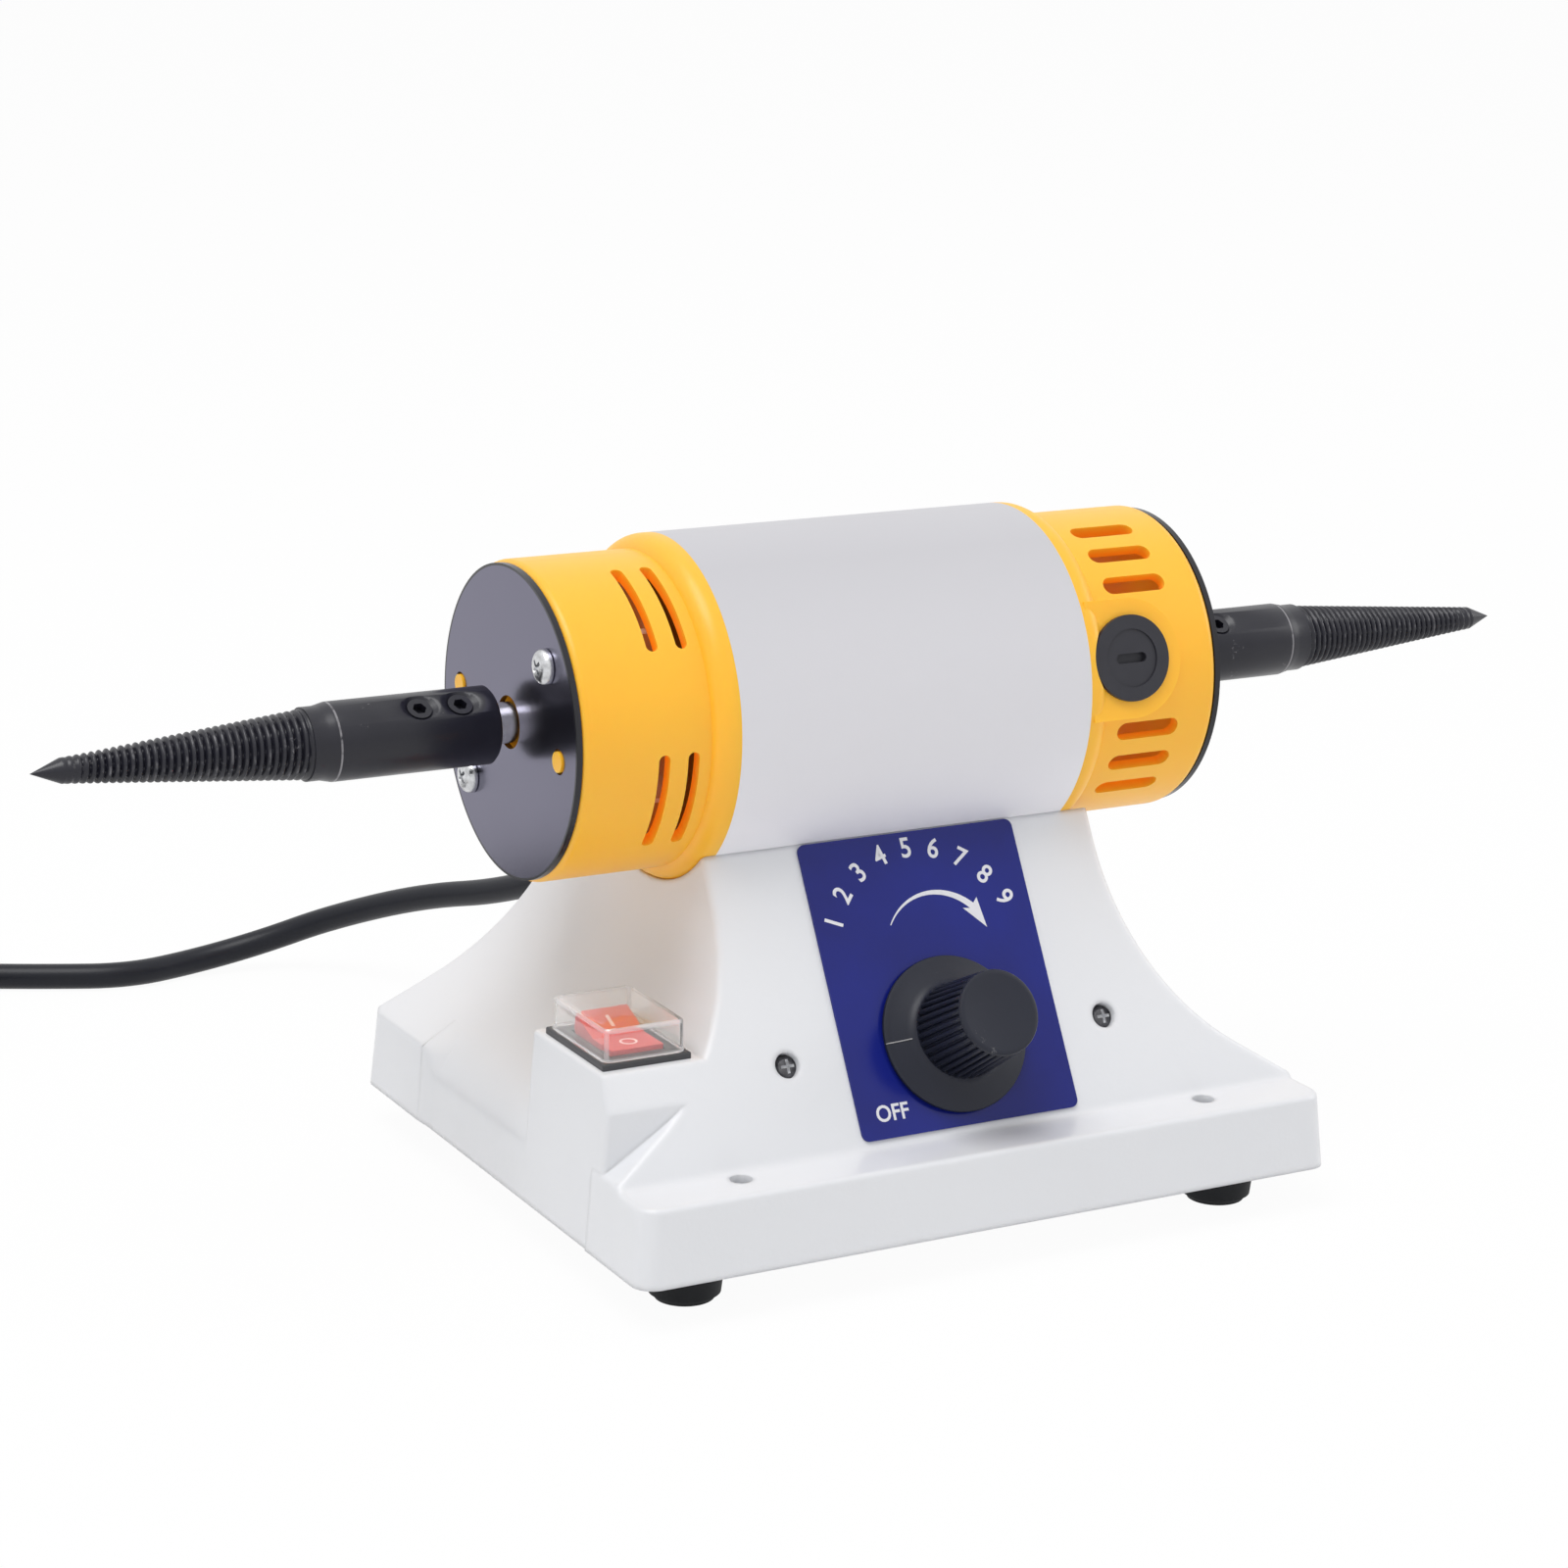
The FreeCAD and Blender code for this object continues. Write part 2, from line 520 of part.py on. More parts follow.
def draw(sketch, corners, arcs=None):
    """Draw a closed outline through bound corner points.

    arcs maps the number of an edge to (radius, side): side 1 has the centre on the
    left of the direction of travel, side -1 on the right.
    """
    arcs = arcs or {}
    points = [Vector(number(x), number(y), 0) for x, y in corners]
    count = len(points)
    starts, ends = [], []
    for i, here in enumerate(points):
        there = points[(i + 1) % count]
        if i in arcs:
            radius, side = number(arcs[i][0]), arcs[i][1]
            half = (there - here) * 0.5
            left = Vector(-half.y, half.x, 0).normalize()
            rise = math.sqrt(max(radius ** 2 - half.Length ** 2, 0.0))
            centre = here + half + left * (rise * side)
            circle = Part.Circle(centre, Z_AXIS, radius)
            turn = [math.atan2(p.y - centre.y, p.x - centre.x) for p in (here, there)]
            first, last = (turn[0], turn[1]) if side == 1 else (turn[1], turn[0])
            index = sketch.addGeometry(Part.ArcOfCircle(circle, first, last), False)
            starts.append((index, 1 if side == 1 else 2))
            ends.append((index, 2 if side == 1 else 1))
        else:
            index = sketch.addGeometry(Part.LineSegment(here, there), False)
            starts.append((index, 1))
            ends.append((index, 2))
    for i in range(count):
        follower = starts[(i + 1) % count]
        sketch.addConstraint(Sketcher.Constraint("Coincident", *ends[i], *follower))
    for i, (x, y) in enumerate(corners):
        for kind, text in (("DistanceX", x), ("DistanceY", y)):
            rule = Sketcher.Constraint(kind, -1, 1, *starts[i], number(text))
            made = sketch.addConstraint(rule)
            sketch.setExpression("Constraints[%d]" % made, bound(text))
    for i, (radius, _) in arcs.items():
        rule = Sketcher.Constraint("Radius", starts[i][0], number(radius))
        made = sketch.addConstraint(rule)
        sketch.setExpression("Constraints[%d]" % made, bound(radius))


def body_sketch(body, plane, corners, arcs=None, lift=None):
    """A sketch on one of a body's own origin planes, lifted off it along its normal."""
    sketch = body.newObject("Sketcher::SketchObject", body.Name + "_outline")
    flat = [f for f in body.Origin.OriginFeatures if f.Role == plane][0]
    sketch.AttachmentSupport = [(flat, "")]
    sketch.MapMode = "FlatFace"
    if lift is not None:
        sketch.setExpression("AttachmentOffset.Base.z", bound(lift))
    draw(sketch, corners, arcs)
    return sketch


def turned(name, corners, arcs=None):
    """A body turned about its X axis; corners are (along the axis, radius)."""
    body = doc.addObject("PartDesign::Body", name)
    sketch = body_sketch(body, "XZ_Plane", corners, arcs)
    turn = body.newObject("PartDesign::Revolution", name + "_turned")
    turn.Profile = sketch
    turn.ReferenceAxis = (sketch, ["H_Axis"])
    turn.Angle = 360
    sketch.Visibility = False
    return body


def padded(name, plane, corners, length, arcs=None, lift=None, midplane=False):
    """A body padded from an outline on one of its origin planes."""
    body = doc.addObject("PartDesign::Body", name)
    sketch = body_sketch(body, plane, corners, arcs, lift)
    pad = body.newObject("PartDesign::Pad", name + "_pad")
    pad.Profile = sketch
    pad.Midplane = midplane
    pad.setExpression("Length", bound(length))
    return body


def rectangle(half_x, half_y):
    """Corner points of a rectangle about the origin."""
    return [("-(%s)" % half_x, "-(%s)" % half_y), (half_x, "-(%s)" % half_y),
            (half_x, half_y), ("-(%s)" % half_x, half_y)]


def screw(name, head_radius, head_height, shank_radius, shank_length, **spot):
    """A round-headed screw: its head sits on the given point and its shank goes in."""
    body = turned(name, [("-(%s)" % shank_length, "0"), ("-(%s)" % shank_length, shank_radius),
                         ("0", shank_radius), ("0", head_radius),
                         ("%s * 0.45" % head_height, head_radius),
                         (head_height, "%s * 0.55" % head_radius), (head_height, "0")])
    return place(body, **spot)


def face_spot(across, up, out="0"):
    """Bound position of a point on the front face: across, up the face, and outwards."""
    foot = "-front_foot + (%s) * sin(face_slope) - (%s) * cos(face_slope)" % (up, out)
    rise = "flange_top + (%s) * cos(face_slope) + (%s) * sin(face_slope)" % (up, out)
    return {"x": "base_offset + (%s)" % across, "y": foot, "z": rise,
            "axis": X_AXIS, "angle": "90 - face_slope"}


def radial(x, turn, out):
    """Bound position at a radius from the motor axis; the object's Z points outwards.

    turn is counted from the front (-Y) upwards.
    """
    return {"x": x, "y": "-(%s) * cos(%s)" % (out, turn),
            "z": "axis_height + (%s) * sin(%s)" % (out, turn),
            "axis": X_AXIS, "angle": "90 - (%s)" % turn}


# Base casting -----------------------------------------------------------------------

def side_profile(inset, soft):
    """Front view of the base: hollow sides that run out onto the rim.

    A soft profile has a rounded shoulder and a drafted wall below the slope.
    """
    neck = "neck_half - %s" % inset
    bend = "(flare_radius + %s)" % inset
    bend_x = "flare_x - %s * cos(flare_sweep)" % bend
    bend_z = "flare_top - %s * sin(flare_sweep)" % bend
    top = "saddle_top + 4 - %s" % inset
    low = "base_bottom - 2"
    end = "(flare_end - %s / cos(flare_sweep))" % inset
    if soft:
        half = "(shell_half - scoop_step - %s)" % inset
        lean = "(tan(flare_sweep) - tan(draft))"
        meet = ("((%s - %s + flange_top * tan(flare_sweep) - base_bottom * tan(draft)) / %s)"
                % (end, half, lean))
        meet_x = "(%s - (%s - base_bottom) * tan(draft))" % (half, meet)
        radius = "(scoop_round - %s)" % inset
        reach = radius + " * tan((flare_sweep - draft) / 2)"
        side = [("%s + 2 * tan(draft)" % half, low),
                ("%s + %s * sin(draft)" % (meet_x, reach),
                 "%s - %s * cos(draft)" % (meet, reach)),
                ("%s - %s * sin(flare_sweep)" % (meet_x, reach),
                 "%s + %s * cos(flare_sweep)" % (meet, reach))]
    else:
        far = "(shell_half + 2)"
        side = [(far, low),
                (far, "flange_top - (%s - %s) / tan(flare_sweep)" % (far, end))]
    right = side + [(bend_x, bend_z), (neck, "flare_top"), (neck, top)]
    left = [("-(%s)" % x, z) for x, z in reversed(right)]
    hollow = len(side)
    arcs = {hollow: (bend, -1), hollow + 4: (bend, -1)}
    if soft:
        arcs = {1: (radius, 1), 3: (bend, -1), 7: (bend, -1), 9: (radius, 1)}
    return right + left, arcs


def end_profile(inset):
    """Side view of the pedestal: sloping front and back, rim at the front only."""
    lean = "tan(face_slope)"
    shift = "%s / cos(face_slope)" % inset
    rim = "flange_top - %s" % inset
    top = "saddle_top - %s" % inset

    def face(foot, z):
        return "%s - (%s - flange_top) * %s - %s" % (foot, z, lean, shift)

    reach = "shell_deep + 2"
    low = "base_bottom - 2"
    return [("-(%s)" % reach, low), (reach, low), (reach, rim),
            (face("back_foot", rim), rim), (face("back_foot", top), top),
            ("-(%s)" % face("front_foot", top), top),
            ("-(%s)" % face("front_foot", rim), rim), ("-(%s)" % reach, rim)]


def drafted_block(name, inset, low, inset_x=None):
    """The outer limits of the base, which narrow upwards."""
    rise = "saddle_top + 8 - base_bottom"
    half_x, half_y = "shell_half - %s" % (inset_x or inset), "shell_deep - %s" % inset
    wedge = solid("Part::Wedge", name, Xmin="-(%s)" % half_x, Xmax=half_x,
                  Zmin="-(%s)" % half_y, Zmax=half_y, Ymin="0", Ymax=rise,
                  X2min="-(%s) + draft_run" % half_x, X2max="%s - draft_run" % half_x,
                  Z2min="-(%s) + draft_run" % half_y, Z2max="%s - draft_run" % half_y)
    return place(wedge, z=low, axis=X_AXIS, angle="90")


def upright(edge):
    """Whether an edge rises, as the corners of a block do."""
    return abs(edge.tangentAt(edge.FirstParameter).z) > 0.9


def slab(name, profile, front, back):
    """A front view profile made solid from one Y to another."""
    outline, arcs = profile
    return padded(name, "XZ_Plane", outline, "%s - (%s)" % (back, front), arcs,
                  lift="-(%s)" % back)


def at_height(edge, low, high):
    """Whether an edge lies between two heights."""
    box = edge.BoundBox
    return box.ZMin > number(low) - 0.05 and box.ZMax < number(high) + 0.05


def casting_outside():
    """The closed outer form of the casting, with its rounded edges."""
    crisp, soft = side_profile("0", False), side_profile("0", True)
    mass = fuse("pedestal_mass",
                slab("front_corners", crisp, "-shell_deep - 5", "-scoop_front"),
                slab("side_middles", soft, "-scoop_front", "scoop_back"),
                slab("back_corners", crisp, "scoop_back", "shell_deep + 5"))
    ends = padded("pedestal_ends", "YZ_Plane", end_profile("0"), "base_length + 10",
                  midplane=True)
    pedestal = common("pedestal", mass, ends)

    lean = math.tan(math.radians(number("face_slope")))

    def pedestal_edge(edge):
        box = edge.BoundBox
        return (box.ZLength > 4 and box.ZMax > number("flange_top") + 1
                and abs(box.YLength / box.ZLength - lean) < 0.02)


    def slope_foot(edge):
        box = edge.BoundBox
        return (box.XLength > number("base_length") / 2 and box.YMax < 0
                and at_height(edge, "flange_top", "flange_top")
                and box.YMin > -number("front_foot") - 1)

    footed = rounded("pedestal_foot", pedestal, "foot_fillet", slope_foot)
    standing = rounded("pedestal_corners", footed, "pedestal_round", pedestal_edge)
    housing = common("switch_housing_form",
                     block("switch_housing_block", "shell_half - 40", "box_length",
                           "box_top - base_bottom", "-shell_half", "-box_front",
                           "base_bottom"),
                     ends, drafted_block("switch_housing_limit", "0", "base_bottom",
                                         "scoop_step"))

    def housing_edge(edge):
        box = edge.BoundBox
        outer_side = box.XMin < number("-shell_half + 20")
        above = box.ZMax > number("flange_top")
        seam = abs(box.XLength) < 0.01 and box.XMin > number("-shell_half + 30")
        return outer_side and above and not seam

    soft_housing = rounded("switch_housing_edges", housing, "box_round", housing_edge)
    limits = rounded("limit_corners", drafted_block("limits", "0", "base_bottom"),
                     "corner_radius", upright)
    form = common("casting_form", fuse("casting_mass", standing, soft_housing), limits)

    def rim_edge(edge):
        box = edge.BoundBox
        return (at_height(edge, "flange_top", "flange_top")
                and box.YMax < -number("front_foot") - 3)

    return rounded("casting_outside", form, "rim_round", rim_edge)


def casting_inside():
    """The inner form, one wall inside the outer one."""
    low = "base_bottom - 1"
    middle = slab("inside_sides", side_profile("wall", True), "-shell_deep", "shell_deep")
    ends = padded("inside_ends", "YZ_Plane", end_profile("wall"), "base_length + 10",
                  midplane=True)
    room = block("inside_switch_housing", "shell_half - 40", "box_length - 2 * box_wall",
                 "box_top - box_wall - (%s)" % low, "-shell_half",
                 "-box_front + box_wall", low)
    limits = rounded("inside_corners", drafted_block("inside_limits", "wall", low),
                     "corner_radius", upright)
    return common("casting_inside", fuse("inside_mass", middle, room), ends, limits)


outer = casting_outside()
inner = casting_inside()
saddle_clear = rod("saddle_backing", "sleeve_radius + saddle_wall", "base_length",
                   "-shell_half", "0", "axis_height", Y_AXIS, "90")
cavity = cut("casting_cavity", inner, saddle_clear)
hollow = cut("casting_hollow", outer, cavity)

posts = []
for tag, post_x, post_y in (("a", "foot_x", "foot_y"), ("b", "-foot_x", "foot_y"),
                            ("c", "foot_x", "-foot_y"), ("d", "-foot_x", "-foot_y")):
    posts.append(rod("foot_post_" + tag, "post_radius", "saddle_top - base_bottom",
                     post_x, post_y, "base_bottom + plate_sheet"))
for tag, post_x in (("a", "bench_x"), ("b", "-bench_x")):
    posts.append(rod("bench_post_" + tag, "post_radius", "saddle_top - base_bottom",
                     post_x, "-bench_y", "base_bottom"))
for tag, side in (("a", "recess_spread"), ("b", "-recess_spread")):
    spot = face_spot(side, "recess_rise", "-bracket_depth")
    spot["x"] = side
    posts.append(rod("recess_post_" + tag, "recess_boss", "bracket_depth", **spot))
kept_posts = common("casting_posts", fuse("all_posts", *posts), outer)
solid_casting = fuse("casting_with_posts", hollow, kept_posts)

tools = [rod("saddle_cut", "sleeve_radius", "base_length", "-shell_half", "0",
             "axis_height", Y_AXIS, "90")]
for tag, side in (("a", "1"), ("b", "-1")):
    tools.append(rod("bench_hole_" + tag, "bench_radius", "flange_height + 20",
                     side + " * bench_x", "-bench_y", "base_bottom - 1"))
    tools.append(rod("saddle_hole_" + tag, "saddle_bolt_radius", "saddle_wall + 20",
                     "motor_mid - base_offset + %s * saddle_bolt_x" % side, "0",
                     "axis_height - sleeve_radius - saddle_wall - 10"))
    for end, way in (("front", "-1"), ("back", "1")):
        tools.append(rod("foot_hole_%s_%s" % (end, tag), "foot_screw_radius",
                         "foot_screw_grip + 1", side + " * foot_x", way + " * foot_y",
                         "base_bottom"))
    spot = face_spot(side + " * recess_spread", "recess_rise", "-recess_depth")
    spot["x"] = side + " * recess_spread"
    tools.append(rod("recess_" + tag, "recess_radius", "recess_depth + 5", **spot))
    spot = face_spot(side + " * recess_spread", "recess_rise", "-bracket_depth - 1")
    spot["x"] = side + " * recess_spread"
    tools.append(rod("recess_thread_" + tag, "front_screw_radius", "bracket_depth", **spot))
tools.append(rod("casting_wire_hole", "wire_hole_radius", "saddle_wall + 20",
                 "motor_mid - base_offset + wire_hole_x", "0",
                 "axis_height - sleeve_radius - saddle_wall - 10"))
spot = face_spot("panel_x", "knob_rise", "-wall - 2")
spot["x"] = "panel_x"
tools.append(rod("bushing_hole", "bushing_radius", "wall + 4", **spot))
tools.append(block("switch_hole", "bezel_width - 2 * bezel_lap",
                   "bezel_length - 2 * bezel_lap", "switch_depth + switch_room + 2",
                   "switch_x - bezel_width / 2 + bezel_lap",
                   "switch_y - bezel_length / 2 + bezel_lap",
                   "box_top - switch_depth - switch_room"))
tools.append(rod("gland_hole", "gland_neck", "wall + 8", "gland_x",
                 "back_y - (wall + 4) * cos(face_slope)",
                 "gland_z - (wall + 4) * sin(face_slope)", X_AXIS, "face_slope - 90"))
casting = cut("base_casting", solid_casting, *tools)
node("base_housing", place(casting, "base_offset"))

# Underside --------------------------------------------------------------------------

plate_body = padded("plate_blank", "XY_Plane",
                    rectangle("plate_x", "plate_y"), "plate_sheet")
plate_tools = []
for tag, post_x, post_y in (("a", "1", "1"), ("b", "-1", "1"), ("c", "1", "-1"),
                            ("d", "-1", "-1")):
    plate_tools.append(rod("plate_foot_hole_" + tag, "foot_screw_radius",
                           "plate_sheet + 2", post_x + " * foot_x", post_y + " * foot_y",
                           "-1"))
for tag, side in (("a", "1"), ("b", "-1")):
    plate_tools.append(rod("plate_bench_hole_" + tag, "post_radius + plate_gap",
                           "plate_sheet + 2", side + " * bench_x", "-bench_y", "-1"))
plate_round = rounded("plate_corners", plate_body, "corner_radius", upright)
bottom_plate = cut("bottom_plate_cut", plate_round, *plate_tools)
node("bottom_plate", place(bottom_plate, "base_offset", "0", "base_bottom"))

foot_screws = []
for name, side_x, side_y in (("foot_front_left", "-1", "-1"), ("foot_front_right", "1", "-1"),
                             ("foot_back_left", "-1", "1"), ("foot_back_right", "1", "1")):
    foot_at = {"x": "base_offset + %s * foot_x" % side_x, "y": side_y + " * foot_y"}
    pad = turned(name + "_rubber", [
        ("0", "foot_bore"), ("0", "foot_bottom - foot_round"),
        ("foot_round", "foot_bottom"), ("base_bottom", "foot_top"),
        ("base_bottom", "foot_screw_radius"),
        ("base_bottom - foot_floor", "foot_screw_radius"),
        ("base_bottom - foot_floor", "foot_bore")], {1: ("foot_round", 1)})
    node(name, place(pad, axis=Y_AXIS, angle="-90", **foot_at))
    foot_screws.append(screw(name + "_screw", "foot_head_radius", "foot_head_height",
                             "foot_screw_radius", "foot_floor + foot_screw_grip",
                             z="base_bottom - foot_floor", axis=Y_AXIS, angle="90",
                             **foot_at))
node("foot_screws", group("foot_screw_set", *foot_screws))

# Motor: sleeve, caps and discs ------------------------------------------------------

AXIS = {"z": "axis_height"}
TURN_OVER = {"axis": Z_AXIS, "angle": "180"}

sleeve = place(turned("sleeve_tube", [
    ("-sleeve_length / 2", "sleeve_bore"), ("sleeve_length / 2", "sleeve_bore"),
    ("sleeve_length / 2", "sleeve_radius"), ("-sleeve_length / 2", "sleeve_radius")]),
    "motor_mid", **AXIS)
sleeve_tools = [rod("sleeve_bolt_hole_" + tag, "saddle_bolt_radius", "sleeve_wall + 10",
                    "motor_mid + %s * saddle_bolt_x" % side, "0",
                    "axis_height - sleeve_radius - 5")
                for tag, side in (("a", "1"), ("b", "-1"))]
sleeve_tools.append(rod("sleeve_wire_hole", "wire_hole_radius", "sleeve_wall + 10",
                        "motor_mid + wire_hole_x", "0", "axis_height - sleeve_radius - 5"))
node("motor_sleeve", cut("sleeve_drilled", sleeve, *sleeve_tools))

LIP_RADIUS = ("((lip_length - lip_flat)^2 + (sleeve_radius - cap_radius)^2)"
              " / (2 * (sleeve_radius - cap_radius))")
CAP_PROFILE = [
    ("-spigot_length", "sleeve_bore - spigot_wall"), ("-spigot_length", "sleeve_bore"),
    ("0", "sleeve_bore"), ("0", "sleeve_radius"), ("lip_flat", "sleeve_radius"),
    ("lip_length", "cap_radius"), ("cap_length - cap_edge", "cap_radius"),
    ("cap_length", "cap_radius - cap_edge"), ("cap_length", "disc_bore"),
    ("cap_length - bearing_seat", "disc_bore"),
    ("cap_length - bearing_seat", "bearing_radius"), ("bearing_inner", "bearing_radius"),
    ("bearing_inner", "bearing_radius + seat_wall"),
    ("cap_length - end_wall", "bearing_radius + seat_wall"),
    ("cap_length - end_wall", "cap_radius - cap_wall"),
    ("lip_length / 2", "cap_radius - cap_wall"), ("0", "sleeve_bore - spigot_wall")]
CAP_ARCS = {4: (LIP_RADIUS, -1), 6: ("cap_edge", -1)}

fan_cap_blank = place(turned("fan_cap_blank", CAP_PROFILE, CAP_ARCS), "left_joint",
                      **AXIS, **TURN_OVER)
brush_cap_blank = place(turned("brush_cap_blank", CAP_PROFILE, CAP_ARCS), "right_joint",
                        **AXIS)


def cap_fixings(side, sign, end):
    """Locating pins and pilot holes in the flat end of a cap."""
    way = {"axis": Y_AXIS, "angle": "90" if sign == "1" else "-90"}
    pins, pilots = [], []
    for tag, flip in (("a", "0"), ("b", "180")):
        turn = "disc_pin_turn + %s" % flip
        pins.append(rod("%s_pin_%s" % (side, tag), "pin_radius",
                        "disc_thickness + pin_proud + 1", "%s - %s" % (end, sign),
                        "-disc_fix_radius * cos(%s)" % turn,
                        "axis_height + disc_fix_radius * sin(%s)" % turn, **way))
        turn = "disc_screw_turn + %s" % flip
        pilots.append(rod("%s_pilot_%s" % (side, tag), "disc_screw_radius",
                          "disc_screw_depth + 1",
                          "%s - %s * disc_screw_depth" % (end, sign),
                          "-disc_fix_radius * cos(%s)" % turn,
                          "axis_height + disc_fix_radius * sin(%s)" % turn, **way))
    return pins, pilots


left_pins, left_pilots = cap_fixings("left", "-1", "left_end")
right_pins, right_pilots = cap_fixings("right", "1", "right_end")


def sector_cutter(name, along, middle):
    """A groove body: a small rectangle swept part of the way round the motor axis."""
    body = doc.addObject("PartDesign::Body", name)
    half = "fan_slot_width / 2"
    sketch = body_sketch(body, "XZ_Plane", [
        ("-" + half, "cap_radius - cap_wall - 1"), (half, "cap_radius - cap_wall - 1"),
        (half, "cap_radius + 2"), ("-" + half, "cap_radius + 2")])
    sweep = body.newObject("PartDesign::Revolution", name + "_sweep")
    sweep.Profile = sketch
    sweep.ReferenceAxis = (sketch, ["H_Axis"])
    sweep.Midplane = True
    sweep.setExpression("Angle", bound("fan_slot_sweep"))
    place(body, along, z="axis_height", axis=X_AXIS, angle="90 - (%s)" % middle)
    ends = [rod("%s_end_%d" % (name, i), half, "cap_wall + 4",
                **radial(along, "%s + %d * fan_slot_sweep / 2" % (middle, sign),
                         "cap_radius - cap_wall - 1"))
            for i, sign in enumerate((1, -1))]
    return [body] + ends


fan_slots = []
for group_index, group_turn in enumerate((
        "fan_slot_turn + fan_slot_spread", "fan_slot_turn - fan_slot_spread",
        "fan_slot_turn + 180 + fan_slot_spread", "fan_slot_turn + 180 - fan_slot_spread")):
    for row in (0, 1):
        station = "left_joint - fan_slot_first - %d * fan_slot_pitch" % row
        fan_slots += sector_cutter("fan_slot_%d_%d" % (group_index, row), station,
                                   group_turn)
fan_cap = cut("fan_cap_cut", fuse("fan_cap_pinned", fan_cap_blank, *left_pins),
              *(fan_slots + left_pilots))
node("fan_end_cap", fan_cap)

brush_bosses, brush_tools = [], []
for tag, flip in (("front", "0"), ("back", "180")):
    turn = "brush_turn + " + flip
    boss = fuse("boss_" + tag, rod("boss_round_" + tag, "boss_radius",
                                   "boss_face - cap_radius + 12",
                                   **radial("brush_x", turn, "cap_radius - 12")),
                place(solid("Part::Box", "boss_straight_" + tag, Length="brush_offset - 1",
                            Width="2 * boss_radius", Height="boss_face - cap_radius + 12"),
                      "right_joint + 1",
                      "-(cap_radius - 12) * cos(%s) - boss_radius * sin(%s)" % (turn, turn),
                      "axis_height + (cap_radius - 12) * sin(%s) - boss_radius * cos(%s)"
                      % (turn, turn), X_AXIS, "90 - (%s)" % turn))
    brush_bosses.append(boss)
    brush_tools.append(rod("holder_hole_" + tag, "holder_tube", "boss_face",
                           **radial("brush_x", turn, "holder_depth - 2")))
    brush_tools.append(rod("holder_face_" + tag, "holder_radius + holder_gap",
                           "2 * lip_step", **radial("brush_x", turn, "boss_face")))
    for slot in range(3):
        for way in (1, -1):
            place_turn = "%s + %d * (brush_slot_first + %d * brush_slot_pitch)" % (
                turn, way, slot)
            label = "axial_slot_%s_%d_%s" % (tag, slot, "up" if way == 1 else "down")
            middle = block(label, "brush_slot_length - brush_slot_width",
                           "brush_slot_width", "cap_wall + 4",
                           "right_joint + brush_slot_start + brush_slot_width / 2",
                           "-(cap_radius - cap_wall - 1) * cos({0}) - brush_slot_width / 2"
                           " * sin({0})".format(place_turn),
                           "axis_height + (cap_radius - cap_wall - 1) * sin({0}) -"
                           " brush_slot_width / 2 * cos({0})".format(place_turn),
                           X_AXIS, "90 - (%s)" % place_turn)
            brush_tools.append(middle)
            for end, along in (("in", "brush_slot_width / 2"),
                               ("out", "brush_slot_length - brush_slot_width / 2")):
                brush_tools.append(rod(
                    label + "_" + end, "brush_slot_width / 2", "cap_wall + 4",
                    **radial("right_joint + brush_slot_start + " + along, place_turn,
                             "cap_radius - cap_wall - 1")))
boss_limit = place(turned("boss_limit", [
    ("0", "cap_radius - cap_wall"), ("cap_length", "cap_radius - cap_wall"),
    ("cap_length", "cap_radius + 10"), ("0", "cap_radius + 10")]), "right_joint", **AXIS)
bosses = common("bosses_outside", fuse("boss_pair", *brush_bosses), boss_limit)
brush_cap = cut("brush_cap_cut",
                fuse("brush_cap_mass", brush_cap_blank, bosses, *right_pins),
                *(brush_tools + right_pilots))
node("brush_end_cap", brush_cap)

for side, sign, end in (("left", "-1", "left_end"), ("right", "1", "right_end")):
    way = {"axis": Y_AXIS, "angle": "90" if sign == "1" else "-90"}
    sheet = rod(side + "_disc_blank", "disc_radius", "disc_thickness", end, "0",
                "axis_height", **way)
    holes = [rod(side + "_disc_bore", "disc_bore", "disc_thickness + 2",
                 "%s - %s" % (end, sign), "0", "axis_height", **way)]
    for tag, turn, radius in (
            ("pin_a", "disc_pin_turn", "pin_radius + pin_clearance"),
            ("pin_b", "disc_pin_turn + 180", "pin_radius + pin_clearance"),
            ("screw_a", "disc_screw_turn", "disc_screw_radius"),
            ("screw_b", "disc_screw_turn + 180", "disc_screw_radius")):
        holes.append(rod("%s_disc_%s" % (side, tag), radius, "disc_thickness + 2",
                         "%s - %s" % (end, sign), "-disc_fix_radius * cos(%s)" % turn,
                         "axis_height + disc_fix_radius * sin(%s)" % turn, **way))
    node(side + "_cover_disc", cut(side + "_disc", sheet, *holes))
    pair = []
    for tag, flip in (("a", "0"), ("b", "180")):
        turn = "disc_screw_turn + " + flip
        pair.append(screw("%s_disc_screw_%s" % (side, tag), "disc_head_radius",
                          "disc_head_height", "disc_screw_radius",
                          "disc_thickness + disc_screw_depth",
                          x="%s + %s * disc_thickness" % (end, sign),
                          y="-disc_fix_radius * cos(%s)" % turn,
                          z="axis_height + disc_fix_radius * sin(%s)" % turn,
                          axis=Z_AXIS, angle="0" if sign == "1" else "180"))
    node(side + "_disc_screws", group(side + "_disc_screw_pair", *pair))

# Motor: field and brush gear --------------------------------------------------------

